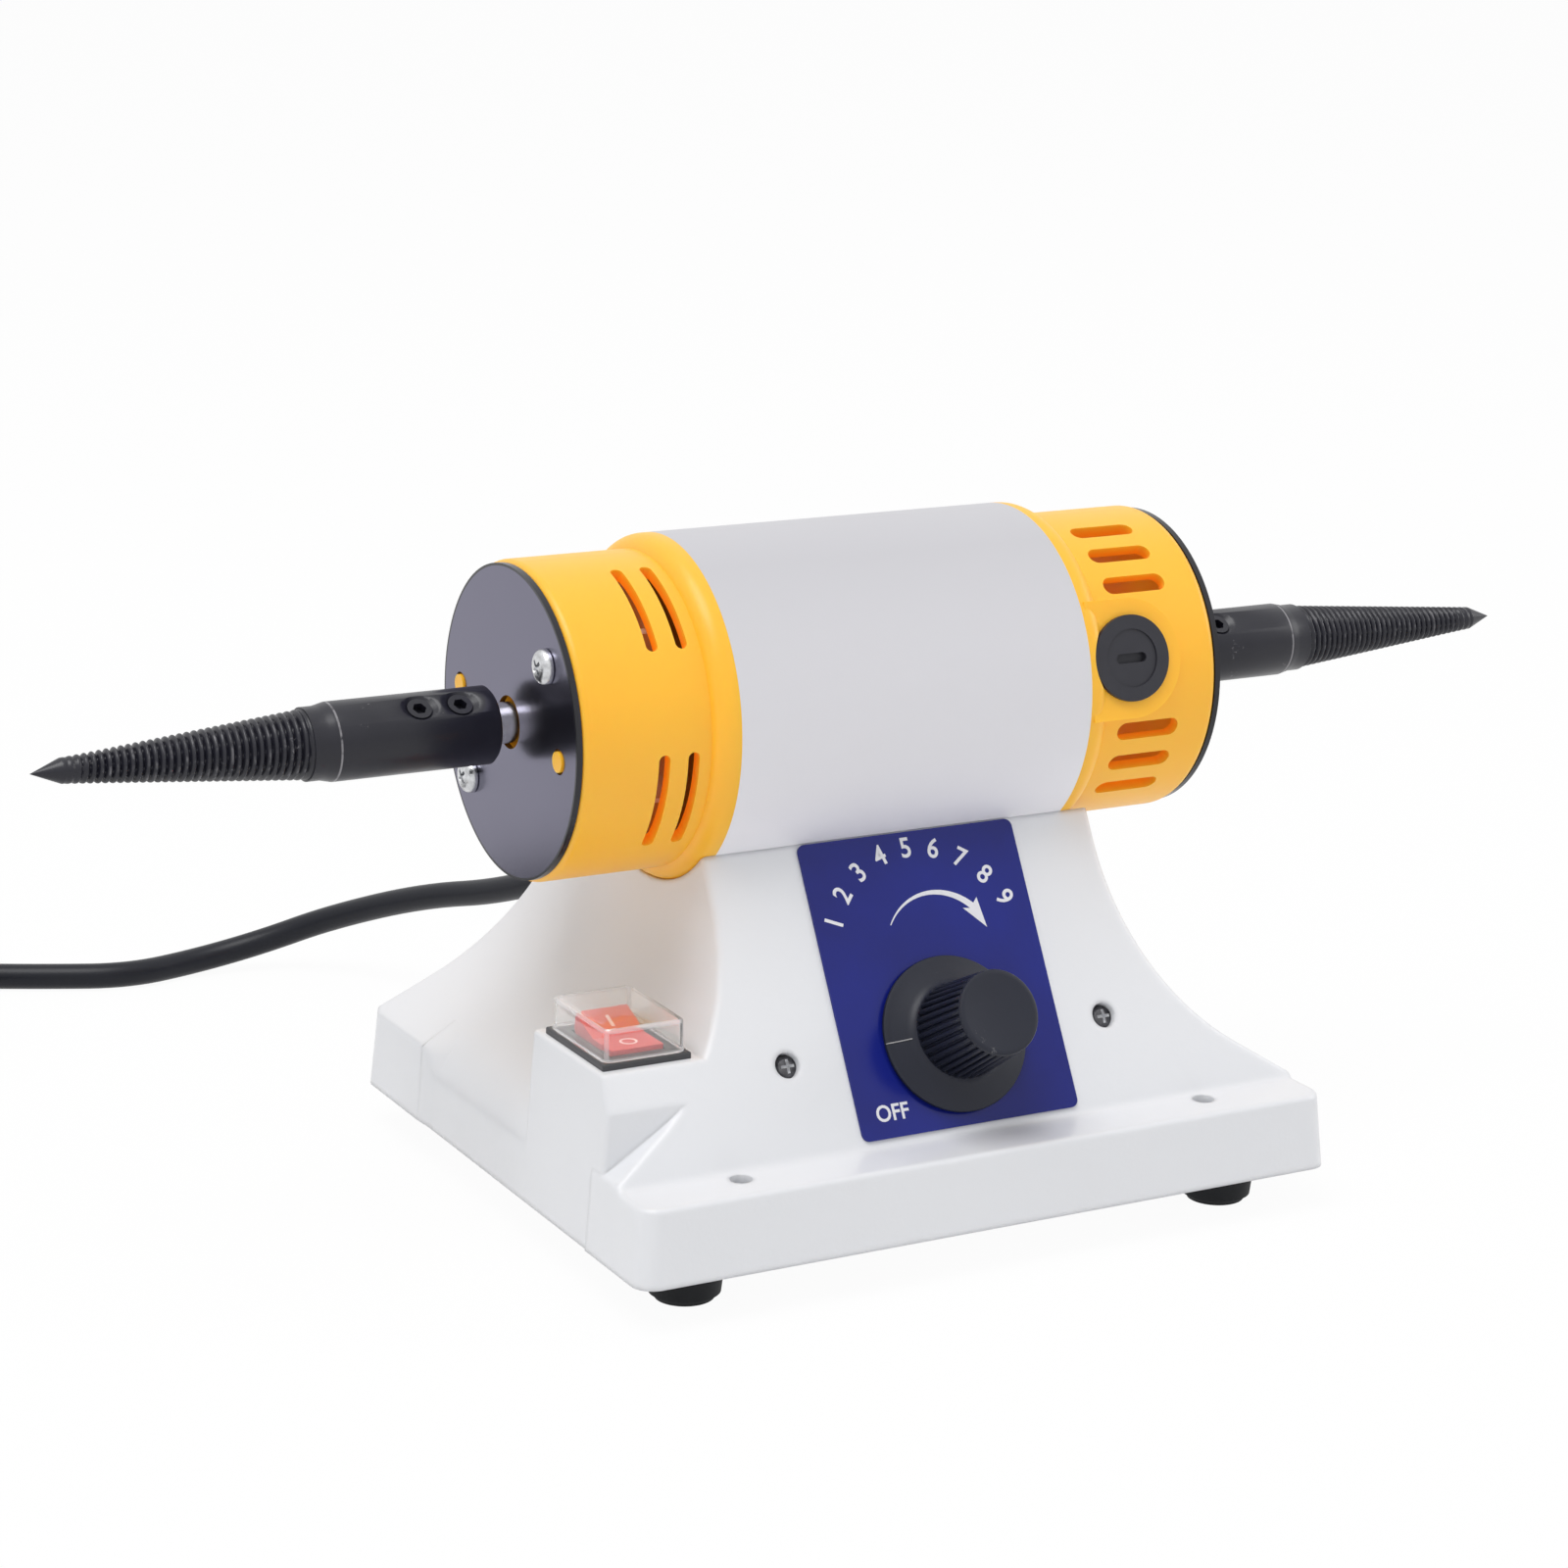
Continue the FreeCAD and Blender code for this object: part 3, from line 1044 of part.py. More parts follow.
CORE_LEFT = "motor_mid - core_length / 2"
ring_out = rod("yoke_outside", "sleeve_bore", "core_length", CORE_LEFT, "0", "axis_height",
               Y_AXIS, "90")
ring_in = rod("yoke_inside", "sleeve_bore - yoke", "core_length + 2", CORE_LEFT + " - 1",
              "0", "axis_height", Y_AXIS, "90")
shoe_out = rod("shoe_outside", "core_radius + air_gap + shoe", "core_length", CORE_LEFT,
               "0", "axis_height", Y_AXIS, "90")
shoe_band = block("shoe_band", "core_length", "2 * shoe_half", "2 * sleeve_radius",
                  CORE_LEFT, "-shoe_half", "axis_height - sleeve_radius")
neck = block("pole_necks", "core_length", "2 * pole_half", "2 * (sleeve_bore - yoke / 2)",
             CORE_LEFT, "-pole_half", "axis_height - (sleeve_bore - yoke / 2)")
armature_room = rod("armature_room", "core_radius + air_gap", "core_length + 2",
                    CORE_LEFT + " - 1", "0", "axis_height", Y_AXIS, "90")
field_iron = cut("field_iron", fuse("field_mass", cut("yoke_ring", ring_out, ring_in),
                                    common("pole_shoes", shoe_out, shoe_band), neck),
                 armature_room)
node("stator_core", field_iron)

coils = []
for tag, base_z in (("upper", "axis_height + core_radius + air_gap + shoe + 0.3"),
                    ("lower", "axis_height - core_radius - air_gap - shoe - 0.3"
                              " - coil_height")):
    outside = block("coil_outside_" + tag, "core_length + 2 * coil_overhang",
                    "2 * (pole_half + coil_width)", "coil_height",
                    CORE_LEFT + " - coil_overhang", "-pole_half - coil_width", base_z)
    inside = block("coil_inside_" + tag, "core_length", "2 * pole_half", "coil_height + 2",
                   CORE_LEFT, "-pole_half", base_z + " - 1")
    coils.append(cut("coil_" + tag, outside, inside))
node("field_coils", group("coil_pair", *coils))

for tag, flip in (("front", "0"), ("back", "180")):
    turn = "brush_turn + " + flip
    ring = rod("holder_ring_" + tag, "holder_radius", "holder_rim",
               **radial("brush_x", turn, "boss_face"))
    tube = rod("holder_tube_" + tag, "holder_tube", "ring_face - holder_depth",
               **radial("brush_x", turn, "holder_depth"))
    bore = rod("holder_bore_" + tag, "holder_bore", "boss_face + 10",
               **radial("brush_x", turn, "holder_depth - 1"))
    mouth = rod("holder_mouth_" + tag, "brush_cap_radius", "brush_cap_depth + 5",
                **radial("brush_x", turn, "ring_face - brush_cap_depth"))
    node("brush_holder_" + tag, cut("holder_" + tag, fuse("holder_mass_" + tag, ring, tube),
                                    bore, mouth))
    lid = rod("brush_cap_blank_" + tag, "brush_cap_radius", "brush_cap_depth - brush_cap_sink",
              **radial("brush_x", turn, "ring_face - brush_cap_depth"))
    floor = "(ring_face - brush_cap_sink - brush_cap_slot_depth)"
    straight = "(brush_cap_slot_length - brush_cap_slot)"
    slot = [block("brush_cap_slot_" + tag, straight, "brush_cap_slot", "3",
                  "brush_x - %s / 2" % straight,
                  "-{1} * cos({0}) - brush_cap_slot / 2 * sin({0})".format(turn, floor),
                  "axis_height + {1} * sin({0}) - brush_cap_slot / 2 * cos({0})"
                  .format(turn, floor), X_AXIS, "90 - (%s)" % turn)]
    for end, way in (("in", "-"), ("out", "+")):
        slot.append(rod("brush_cap_slot_%s_%s" % (end, tag), "brush_cap_slot / 2", "3",
                        **radial("brush_x %s %s / 2" % (way, straight), turn, floor)))
    node("brush_cap_" + tag, cut("brush_cap_slotted_" + tag, lid, *slot))
    carbon = block("carbon_" + tag, "brush_width", "brush_height", "brush_length",
                   "brush_x - brush_width / 2",
                   "-brush_near * cos({0}) - brush_height / 2 * sin({0})".format(turn),
                   "axis_height + brush_near * sin({0}) - brush_height / 2 * cos({0})"
                   .format(turn), X_AXIS, "90 - (%s)" % turn)
    node("carbon_brush_" + tag, carbon)
    steps = math.ceil(number("(spring_room - 2 * spring_wire) / spring_pitch"))
    loops = []
    for index in range(steps + 1):
        loops.append(place(solid("Part::Torus", "spring_loop_%s_%d" % (tag, index),
                                 Radius1="brush_width / 2", Radius2="spring_wire"),
                           z="spring_wire + (spring_room - 2 * spring_wire) * %d / %d"
                             % (index, steps)))
    spring = group("spring_seat_" + tag, fuse("spring_coil_" + tag, *loops))
    node("brush_spring_" + tag,
         place(spring, **radial("brush_x", turn, "brush_near + brush_length")))

bolts = []
for tag, side in (("a", "1"), ("b", "-1")):
    bolt_x = "motor_mid + %s * saddle_bolt_x" % side
    shank = rod("saddle_shank_" + tag, "saddle_bolt_radius",
                "saddle_wall + sleeve_wall + saddle_bolt_grip", bolt_x, "0", "seat_z")
    head = place(solid("Part::Prism", "saddle_head_" + tag, Circumradius="saddle_head",
                       Height="saddle_head_height"), bolt_x, "0",
                 "seat_z - saddle_head_height")
    head.Polygon = 6
    bolts.append(fuse("saddle_bolt_" + tag, shank, head))
node("saddle_bolts", group("saddle_bolt_pair", *bolts))

# Rotor ------------------------------------------------------------------------------

node("motor_shaft", rod("shaft", "shaft_radius", "2 * (spindle_root + shaft_engagement)",
                        "-(spindle_root + shaft_engagement)", "0", "axis_height", Y_AXIS,
                        "90"))

core_body = turned("armature_blank", [
    ("-core_length / 2", "shaft_radius"), ("core_length / 2", "shaft_radius"),
    ("core_length / 2", "core_radius"), ("-core_length / 2", "core_radius")])
doc.recompute()
slot_sketch = body_sketch(core_body, "YZ_Plane", [
    ("-core_slot_width / 2", "core_radius - core_slot_depth"),
    ("core_slot_width / 2", "core_radius - core_slot_depth"),
    ("core_slot_width / 2", "core_radius + 1"), ("-core_slot_width / 2", "core_radius + 1")])
winding_slot = core_body.newObject("PartDesign::Pocket", "winding_slot")
winding_slot.Profile = slot_sketch
winding_slot.Midplane = True
winding_slot.setExpression("Length", bound("core_length + 4"))
doc.recompute()
slot_ring = core_body.newObject("PartDesign::PolarPattern", "winding_slots")
slot_ring.Originals = [winding_slot]
slot_ring.Axis = (slot_sketch, ["N_Axis"])
slot_ring.Angle = 360
slot_ring.setExpression("Occurrences", bound("core_slots"))
core_body.Tip = slot_ring
node("armature_core", place(core_body, "motor_mid", **AXIS))

end_turns = []
for tag, side in (("left", "180"), ("right", "0")):
    ball = turned("end_turns_" + tag, [
        ("0", "shaft_radius + 1"), ("0", "winding_radius"),
        ("winding_length * 0.6", "winding_radius"),
        ("winding_length", "winding_radius * 0.7"), ("winding_length", "shaft_radius + 1")],
        {2: ("winding_length", -1)})
    sign = "1" if side == "0" else "-1"
    end_turns.append(place(ball, "motor_mid + %s * core_length / 2" % sign, "0",
                           "axis_height", Z_AXIS, side))
node("armature_windings", group("end_turn_pair", *end_turns))

node("commutator", place(turned("commutator_drum", [
    ("0", "shaft_radius"), ("commutator_length", "shaft_radius"),
    ("commutator_length", "commutator_radius"), ("riser_length", "commutator_radius"),
    ("riser_length", "commutator_radius + riser_step"),
    ("0", "commutator_radius + riser_step")]),
    "brush_x - commutator_length / 2 - 1", **AXIS))

fan_body = turned("fan_blank", [
    ("0", "shaft_radius"), ("fan_width", "shaft_radius"), ("fan_width", "fan_hub"),
    ("fan_plate", "fan_hub"), ("fan_plate", "fan_radius"), ("0", "fan_radius")])
doc.recompute()
blade_sketch = body_sketch(fan_body, "YZ_Plane", [
    ("-fan_plate / 2", "fan_hub - 1"), ("fan_plate / 2", "fan_hub - 1"),
    ("fan_plate / 2", "fan_radius - 0.5"), ("-fan_plate / 2", "fan_radius - 0.5")])
blade = fan_body.newObject("PartDesign::Pad", "fan_blade")
blade.Profile = blade_sketch
blade.setExpression("Length", bound("fan_width"))
doc.recompute()
blade_ring = fan_body.newObject("PartDesign::PolarPattern", "fan_blade_ring")
blade_ring.Originals = [blade]
blade_ring.Axis = (blade_sketch, ["N_Axis"])
blade_ring.Angle = 360
blade_ring.setExpression("Occurrences", bound("fan_blades"))
fan_body.Tip = blade_ring
node("cooling_fan", place(fan_body, "left_joint - fan_start", **AXIS, **TURN_OVER))

for side, joint, over in (("left", "left_joint", TURN_OVER), ("right", "right_joint", {})):
    start = "bearing_inner"
    stop = "bearing_inner + bearing_width"
    inner_edge = "shaft_radius + race_thickness"
    outer_edge = "bearing_radius - race_thickness"
    shield_edge = inner_edge + " + shield_gap"
    race = turned(side + "_outer_race", [
        (start, shield_edge), (start, "bearing_radius"), (stop, "bearing_radius"),
        (stop, shield_edge), (stop + " - shield_thickness", shield_edge),
        (stop + " - shield_thickness", outer_edge),
        (start + " + shield_thickness", outer_edge),
        (start + " + shield_thickness", shield_edge)])
    node(side + "_bearing_outer", place(race, joint, **AXIS, **over))
    core_race = turned(side + "_inner_race", [
        (start, "shaft_radius"), (stop, "shaft_radius"), (stop, inner_edge),
        (start, inner_edge)])
    node(side + "_bearing_inner", place(core_race, joint, **AXIS, **over))

for side, sign in (("left", "-1"), ("right", "1")):
    over = TURN_OVER if sign == "-1" else {}
    form = place(turned(side + "_spindle_form", [
        ("0", "0"), ("0", "spindle_radius - spindle_edge"),
        ("spindle_edge", "spindle_radius"), ("body_length", "spindle_radius"),
        ("neck_start", "neck_radius"), ("thread_start", "neck_radius"),
        ("thread_start", "thread_radius"),
        ("spindle_length - point_length", "point_radius"), ("spindle_length", "0")]),
        sign + " * spindle_root", **AXIS, **over)
    way = {"axis": Y_AXIS, "angle": "90" if sign == "1" else "-90"}
    spindle_tools = [rod(side + "_spindle_bore", "shaft_radius", "spindle_bore_depth + 1",
                         "%s * (spindle_root - 1)" % sign, "0", "axis_height", **way)]
    grubs = []
    for index in (0, 1):
        station = "%s * (spindle_root + grub_first + %d * grub_pitch)" % (sign, index)
        tag = "%s_%d" % (side, index)
        spindle_tools.append(rod("grub_hole_" + tag, "grub_radius", "spindle_radius",
                                 **radial(station, "grub_turn", "shaft_radius - 1")))
        spindle_tools.append(cone("grub_spot_" + tag, "grub_radius", "spot_radius",
                                  "spot_depth",
                                  **radial(station, "grub_turn",
                                           "spindle_radius - spot_depth")))
        plug = rod("grub_blank_" + tag, "grub_radius", "grub_length",
                   **radial(station, "grub_turn", "shaft_radius"))
        socket = place(solid("Part::Prism", "grub_socket_" + tag,
                             Circumradius="grub_socket", Height="grub_socket_depth + 1"),
                       **radial(station, "grub_turn",
                                "shaft_radius + grub_length - grub_socket_depth"))
        socket.Polygon = 6
        grubs.append(cut("grub_" + tag, plug, socket))
    node(side + "_spindle", cut(side + "_spindle_cut", form, *spindle_tools))
    node(side + "_grub_screws", group(side + "_grub_pair", *grubs))

# Switch -----------------------------------------------------------------------------

SWITCH_X, SWITCH_Y = "base_offset + switch_x", "switch_y"
frame_block = block("switch_frame", "bezel_width", "bezel_length", "bezel_height",
                    SWITCH_X + " - bezel_width / 2", SWITCH_Y + " - bezel_length / 2",
                    "box_top")
lower_block = block("switch_case", "bezel_width - 2 * bezel_lap",
                    "bezel_length - 2 * bezel_lap", "switch_depth",
                    SWITCH_X + " - bezel_width / 2 + bezel_lap",
                    SWITCH_Y + " - bezel_length / 2 + bezel_lap", "box_top - switch_depth")
well = block("rocker_well", "rocker_width + 2 * rocker_gap",
             "2 * (rocker_half + 2 * rocker_gap)", "rocker_belly + bezel_height + 2",
             SWITCH_X + " - rocker_width / 2 - rocker_gap",
             SWITCH_Y + " - rocker_half - 2 * rocker_gap",
             "bezel_top - rocker_belly - rocker_gap")
PIN_REACH = "rocker_width / 2 + rocker_pin_in"
pin_hole = rod("rocker_pin_hole", "rocker_pin + running_gap", "2 * (%s) + 1" % PIN_REACH,
               SWITCH_X + " - (%s) - 0.5" % PIN_REACH, SWITCH_Y, "pivot_z", Y_AXIS, "90")
soft_frame = rounded("switch_frame_edges", frame_block, "bezel_edge",
                     lambda edge: edge.BoundBox.ZMax > number("bezel_top") - 0.1)
node("switch_body", cut("switch_body_cut", fuse("switch_mass", soft_frame, lower_block),
                        well, pin_hole))

BELLY = "(rocker_belly - rocker_side)"
rocker_form = padded("rocker_form", "YZ_Plane", [
    ("-rocker_half", "rocker_rise + rocker_pivot"),
    ("-rocker_half", "rocker_pivot - rocker_side"),
    ("rocker_half", "rocker_pivot - rocker_side"),
    ("rocker_half", "rocker_rise + rocker_pivot"), ("0", "rocker_dip + rocker_pivot")],
    "rocker_width", {1: ("(rocker_half^2 + {0}^2) / (2 * {0})".format(BELLY), 1)},
    midplane=True)
rocker_pins = rod("rocker_pins", "rocker_pin", "2 * (%s)" % PIN_REACH,
                  "-(%s)" % PIN_REACH, "0", "0", Y_AXIS, "90")
rocker = fuse("rocker_mass", rocker_form, rocker_pins)
node("switch_rocker", place(rocker, SWITCH_X, SWITCH_Y, "pivot_z", X_AXIS,
                            "rocker_tilt"))

cover_out = block("cover_outside", "cover_width", "cover_length", "cover_height",
                  SWITCH_X + " - cover_width / 2", SWITCH_Y + " - cover_length / 2",
                  "bezel_top")
cover_soft = rounded("cover_soft", cover_out, "cover_round",
                     lambda edge: edge.BoundBox.ZMax > number("bezel_top") + 0.1)
cover_in = block("cover_inside", "cover_width - 2 * cover_wall",
                 "cover_length - 2 * cover_wall", "cover_height - cover_wall + 1",
                 SWITCH_X + " - cover_width / 2 + cover_wall",
                 SWITCH_Y + " - cover_length / 2 + cover_wall", "bezel_top - 1")
node("switch_cover", cut("cover_shell", cover_soft, cover_in))

# Panel, speed control and board -----------------------------------------------------

panel_blank = padded("panel_blank", "XY_Plane",
                     rectangle("panel_width / 2", "panel_length / 2"), "panel_thickness")
panel_round = rounded("panel_corners", panel_blank, "panel_round",
                      upright)
panel_hole = rod("panel_hole", "bushing_radius", "panel_thickness + 2", "0",
                 "knob_rise - panel_rise", "-1")
panel = cut("panel_cut", panel_round, panel_hole)
node("control_panel", place(panel, **face_spot("panel_x", "panel_rise")))

pot_case = rod("pot_case", "pot_radius", "pot_depth",
               **face_spot("panel_x", "knob_rise", "-pot_back"))
pot_bush = rod("pot_bushing", "bushing_radius", "wall + bushing_proud",
               **face_spot("panel_x", "knob_rise", "-wall"))
pot_bore = rod("pot_bore", "pot_shaft + running_gap", "pot_back + bushing_proud",
               **face_spot("panel_x", "knob_rise", "-pot_back + pot_floor"))
node("speed_control", cut("speed_control_cut", fuse("pot_mass", pot_case, pot_bush),
                          pot_bore))
node("speed_control_shaft", rod("pot_stem", "pot_shaft",
                                "pot_back - pot_floor - running_gap + pot_shaft_end",
                                **face_spot("panel_x", "knob_rise",
                                            "-pot_back + pot_floor + running_gap")))
nut_blank = place(solid("Part::Prism", "nut_blank", Circumradius="nut_corner",
                        Height="nut_height"),
                  **face_spot("panel_x", "knob_rise", "panel_thickness"))
nut_blank.Polygon = 6
nut_bore = rod("nut_bore", "bushing_radius", "nut_height + 2",
               **face_spot("panel_x", "knob_rise", "panel_thickness - 1"))
node("speed_control_nut", cut("control_nut", nut_blank, nut_bore))

knob_body = turned("knob_form", [
    ("skirt_start", "nut_corner + knob_room"), ("skirt_start", "skirt_radius"),
    ("skirt_start + skirt_rim", "skirt_radius"),
    ("grip_start", "grip_foot + 1"), ("grip_start", "grip_foot"),
    ("knob_height - knob_edge", "grip_top"), ("knob_height", "grip_top - knob_edge"),
    ("knob_height", "0"), ("pot_shaft_end", "0"), ("pot_shaft_end", "pot_shaft"),
    ("bushing_proud + knob_room", "pot_shaft"),
    ("bushing_proud + knob_room", "nut_corner + knob_room")])
doc.recompute()
flute_sketch = body_sketch(knob_body, "YZ_Plane", [
    ("-flute_radius", "grip_foot + 1.2 * flute_radius"),
    ("-flute_radius", "grip_foot - 0.25 * flute_radius"),
    ("flute_radius", "grip_foot - 0.25 * flute_radius"),
    ("flute_radius", "grip_foot + 1.2 * flute_radius")],
    {1: ("flute_radius * 1.15", 1)}, lift="grip_start + flute_radius")
flute = knob_body.newObject("PartDesign::Pocket", "grip_flute")
flute.Profile = flute_sketch
flute.Reversed = True
flute.setExpression("Length", bound("knob_height - grip_start"))
doc.recompute()
flute_ring = knob_body.newObject("PartDesign::PolarPattern", "grip_flutes")
flute_ring.Originals = [flute]
flute_ring.Axis = (flute_sketch, ["N_Axis"])
flute_ring.Angle = 360
flute_ring.setExpression("Occurrences", bound("flutes"))
knob_body.Tip = flute_ring
knob_frame = group("knob_frame", knob_body)
knob_body.Placement = Placement(Vector(), Rotation(Y_AXIS, -90))
node("speed_knob", place(knob_frame, **face_spot("panel_x", "knob_rise")))

front_screws, spacers = [], []
for tag, side in (("a", "1"), ("b", "-1")):
    head = rod("front_head_" + tag, "front_head_radius", "front_head_height",
               **face_spot(side + " * recess_spread", "recess_rise", "-recess_depth"))
    shank = rod("front_shank_" + tag, "front_screw_radius",
                "bracket_depth + bracket_sheet - recess_depth",
                **face_spot(side + " * recess_spread", "recess_rise",
                            "-bracket_depth - bracket_sheet"))
    front_screws.append(fuse("front_screw_" + tag, head, shank))
    spacers.append(rod("board_spacer_" + tag, "spacer_radius", "spacer_length",
                       **face_spot(side + " * spacer_spread", "recess_rise",
                                   "-bracket_depth - bracket_sheet - spacer_length")))
node("front_screws", group("front_screw_pair", *front_screws))
node("board_spacers", group("spacer_pair", *spacers))

strip = padded("bracket_blank", "XY_Plane",
               rectangle("bracket_length / 2", "bracket_width / 2"), "bracket_sheet")
bracket_tools = [rod("bracket_opening", "pot_radius + bracket_gap", "bracket_sheet + 2", "panel_x",
                     "knob_rise - recess_rise", "-1")]
for tag, side in (("a", "1"), ("b", "-1")):
    bracket_tools.append(rod("bracket_hole_" + tag, "front_screw_radius",
                             "bracket_sheet + 2", side + " * recess_spread", "0", "-1"))
bracket = cut("bracket_cut", strip, *bracket_tools)
node("board_bracket", place(bracket, **face_spot("0", "recess_rise",
                                                 "-bracket_depth - bracket_sheet")))

BOARD_OUT = "-bracket_depth - bracket_sheet - spacer_length - board_sheet"
board = place(padded("board_blank", "XY_Plane", rectangle("board_length / 2",
                                                          "board_width / 2"),
                     "board_sheet"), **face_spot("0", "recess_rise", BOARD_OUT))
node("control_board", board)
parts_on_board = [
    rod("capacitor", "capacitor_radius", "capacitor_length",
        **face_spot("capacitor_x", "recess_rise", BOARD_OUT + " - capacitor_length")),
    rod("choke", "choke_radius", "choke_length",
        **face_spot("choke_x", "recess_rise", BOARD_OUT + " - choke_length")),
    place(solid("Part::Box", "triac_sink", Length="sink_length", Width="sink_width",
                Height="sink_height"),
          **face_spot("sink_x", "recess_rise", BOARD_OUT + " - sink_height")),
]
node("board_components", group("component_set", *parts_on_board))

# Mains lead -------------------------------------------------------------------------

BACK = {"x": "base_offset + gland_x", "y": "back_y", "z": "gland_z", "axis": X_AXIS,
        "angle": "face_slope - 90"}
gland_body = turned("gland_form", [
    ("-wall - gland_tail", "cord_radius"), ("-wall - gland_tail", "gland_neck"),
    ("0", "gland_neck"),
    ("0", "gland_flange"), ("gland_rim", "gland_flange"), ("gland_rim", "relief_root"),
    ("relief_length", "relief_tip"), ("relief_length", "cord_radius")])
gland_body.Placement = Placement(Vector(), Rotation(Y_AXIS, -90))
node("strain_relief", place(group("gland_frame", gland_body), **BACK))

LEAN = math.radians(number("face_slope"))


def out_of_gland(distance):
    """A point on the strain relief's axis, this far beyond the back face."""
    reach = number(distance)
    return Vector(number("base_offset + gland_x"), number("back_y") + reach * math.cos(LEAN),
                  number("gland_z") + reach * math.sin(LEAN))


FLOOR = number("cord_radius")
LEAD_ROUTE = [  # shares of the way to the coil across and back, and of the height left
    (0.0558, 0.2728, 0.8034), (0.1194, 0.4925, 0.4733), (0.1903, 0.7159, 0.2256),
    (0.2759, 0.8068, 0.0844), (0.3738, 0.8296, 0.0), (0.4814, 0.8068, 0.0),
    (0.5890, 0.8599, 0.0), (0.6918, 0.9508, 0.0), (0.8043, 1.0, 0.0), (0.8728, 1.0, 0.0)]


def lead_points():
    """The lead from inside the base to the outermost turn of the coil."""
    leave = out_of_gland("cord_straight")
    join = Vector(number("coil_x"), number("coil_y + outer_turn"), FLOOR)
    way = join - leave
    points = [out_of_gland("-cord_inside"), leave]
    for across, back, up in LEAD_ROUTE:
        points.append(Vector(leave.x + across * way.x, leave.y + back * way.y,
                             join.z - up * way.z))
    return points


def rounded_path(points):
    """Straight runs joined by tangent arcs, each as large as its two runs allow."""
    edges, radii, start = [], [], points[0]
    for before, corner, after in zip(points, points[1:], points[2:]):
        run_in, run_out = corner - before, after - corner
        way_in, way_out = Vector(run_in).normalize(), Vector(run_out).normalize()
        turn = way_in.getAngle(way_out)
        short = 0.45 * min(run_in.Length, run_out.Length)
        radii.append(short / math.tan(turn / 2))
        enter, leave = corner - way_in * short, corner + way_out * short
        inward = (way_out - way_in).normalize()
        depth = radii[-1] * (1 / math.cos(turn / 2) - 1)
        edges.append(Part.LineSegment(start, enter).toShape())
        edges.append(Part.Arc(enter, corner + inward * depth, leave).toShape())
        start = leave
    edges.append(Part.LineSegment(start, points[-1]).toShape())
    return Part.Wire(edges), radii


def cord_tube(name, points):
    """A round tube along a route, checked against its section times its length."""
    path, radii = rounded_path(points)
    circle = Part.Circle(points[0], (points[1] - points[0]).normalize(), FLOOR)
    section = Part.Wire([circle.toShape()])
    tube = path.makePipeShell([section], True, False)
    expected = math.pi * FLOOR ** 2 * path.Length
    print("%s: length %.0f, smallest radius %.0f, volume ratio %.4f"
          % (name, path.Length, min(radii), tube.Volume / expected))
    feature = doc.addObject("Part::Feature", name + "_tube")
    feature.Shape = tube
    return feature, path.Length


lead, lead_length = cord_tube("power_cord", lead_points())
node("power_cord", lead)

INSIDE, OUTSIDE = "coil_mean - coil_band", "coil_mean + coil_band"
coil_ring = turned("coil_form", [
    ("0", INSIDE + " + coil_edge"), ("coil_edge", INSIDE),
    ("coil_height_all - coil_edge", INSIDE), ("coil_height_all", INSIDE + " + coil_edge"),
    ("coil_height_all", OUTSIDE + " - coil_edge"),
    ("coil_height_all - coil_edge", OUTSIDE), ("coil_edge", OUTSIDE),
    ("0", OUTSIDE + " - coil_edge")])
node("cord_coil", place(coil_ring, "coil_x", "coil_y", "0", Y_AXIS, "-90"))

TAIL_X = number("coil_x - outer_turn")
tail_points = [Vector(TAIL_X, number("tail_start"), FLOOR),
               Vector(TAIL_X, number("tail_bend"), FLOOR),
               Vector(TAIL_X, number("plug_y"), number("plug_rise"))]
tail, tail_length = cord_tube("cord_tail", tail_points)
node("cord_tail", tail)
turns = number("coil_turns_wide * coil_turns_high")
print("whole lead: %.0f" % (lead_length + tail_length
                            + turns * 2 * math.pi * number("coil_mean")))

PLUG_AT = {"x": "coil_x - outer_turn", "y": "plug_y", "z": "plug_rise",
           "axis": X_AXIS, "angle": "90 - plug_tilt"}
plug_form = turned("plug_form", [
    ("0", "0"), ("0", "relief_tip"), ("plug_tail", "plug_neck"),
    ("plug_back", "plug_radius"), ("plug_all", "plug_radius"), ("plug_all", "0")])
plug_form.Placement = Placement(Vector(), Rotation(Y_AXIS, -90))
node("plug", place(group("plug_frame", plug_form), **PLUG_AT))
plug_pins = [rod("plug_pin_" + tag, "plug_pin_radius", "plug_pin_length",
                 side + " * plug_pin_spread", "0", "plug_all")
             for tag, side in (("a", "1"), ("b", "-1"))]
node("plug_pins", place(group("plug_pin_pair", *plug_pins), **PLUG_AT))

# Check and export -------------------------------------------------------------------

doc.recompute()


def faults():
    """Every object that failed, and every sub-part without a sound shape."""
    found = [thing.Name for thing in doc.Objects
             if "Invalid" in thing.State or "Error" in thing.State]
    for name, thing in nodes.items():
        shape = thing.Shape
        if shape.isNull() or not shape.isValid() or not shape.Solids:
            found.append("shape of " + name)
    return found


broken = faults()
if broken:
    raise RuntimeError("not sound: " + ", ".join(broken))
os.makedirs("parts", exist_ok=True)
for name, thing in nodes.items():
    thing.Shape.exportStep(os.path.join("parts", name + ".step"))
print("%d sub-parts written" % len(nodes))
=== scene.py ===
# %% [markdown]
# # A dental polishing lathe
# A bench motor with a tapered, threaded spindle at each end sits on a cast base. The solid
# model comes in as a fixed frame: each of its pieces already lies where it belongs, in
# metres, with X along the motor, -Y towards the user and Z up. This lesson dresses it.

# %% Load the frame
import json
import math
import bmesh
import bpy
from mathutils import Matrix, Vector
from mathutils.bvhtree import BVHTree


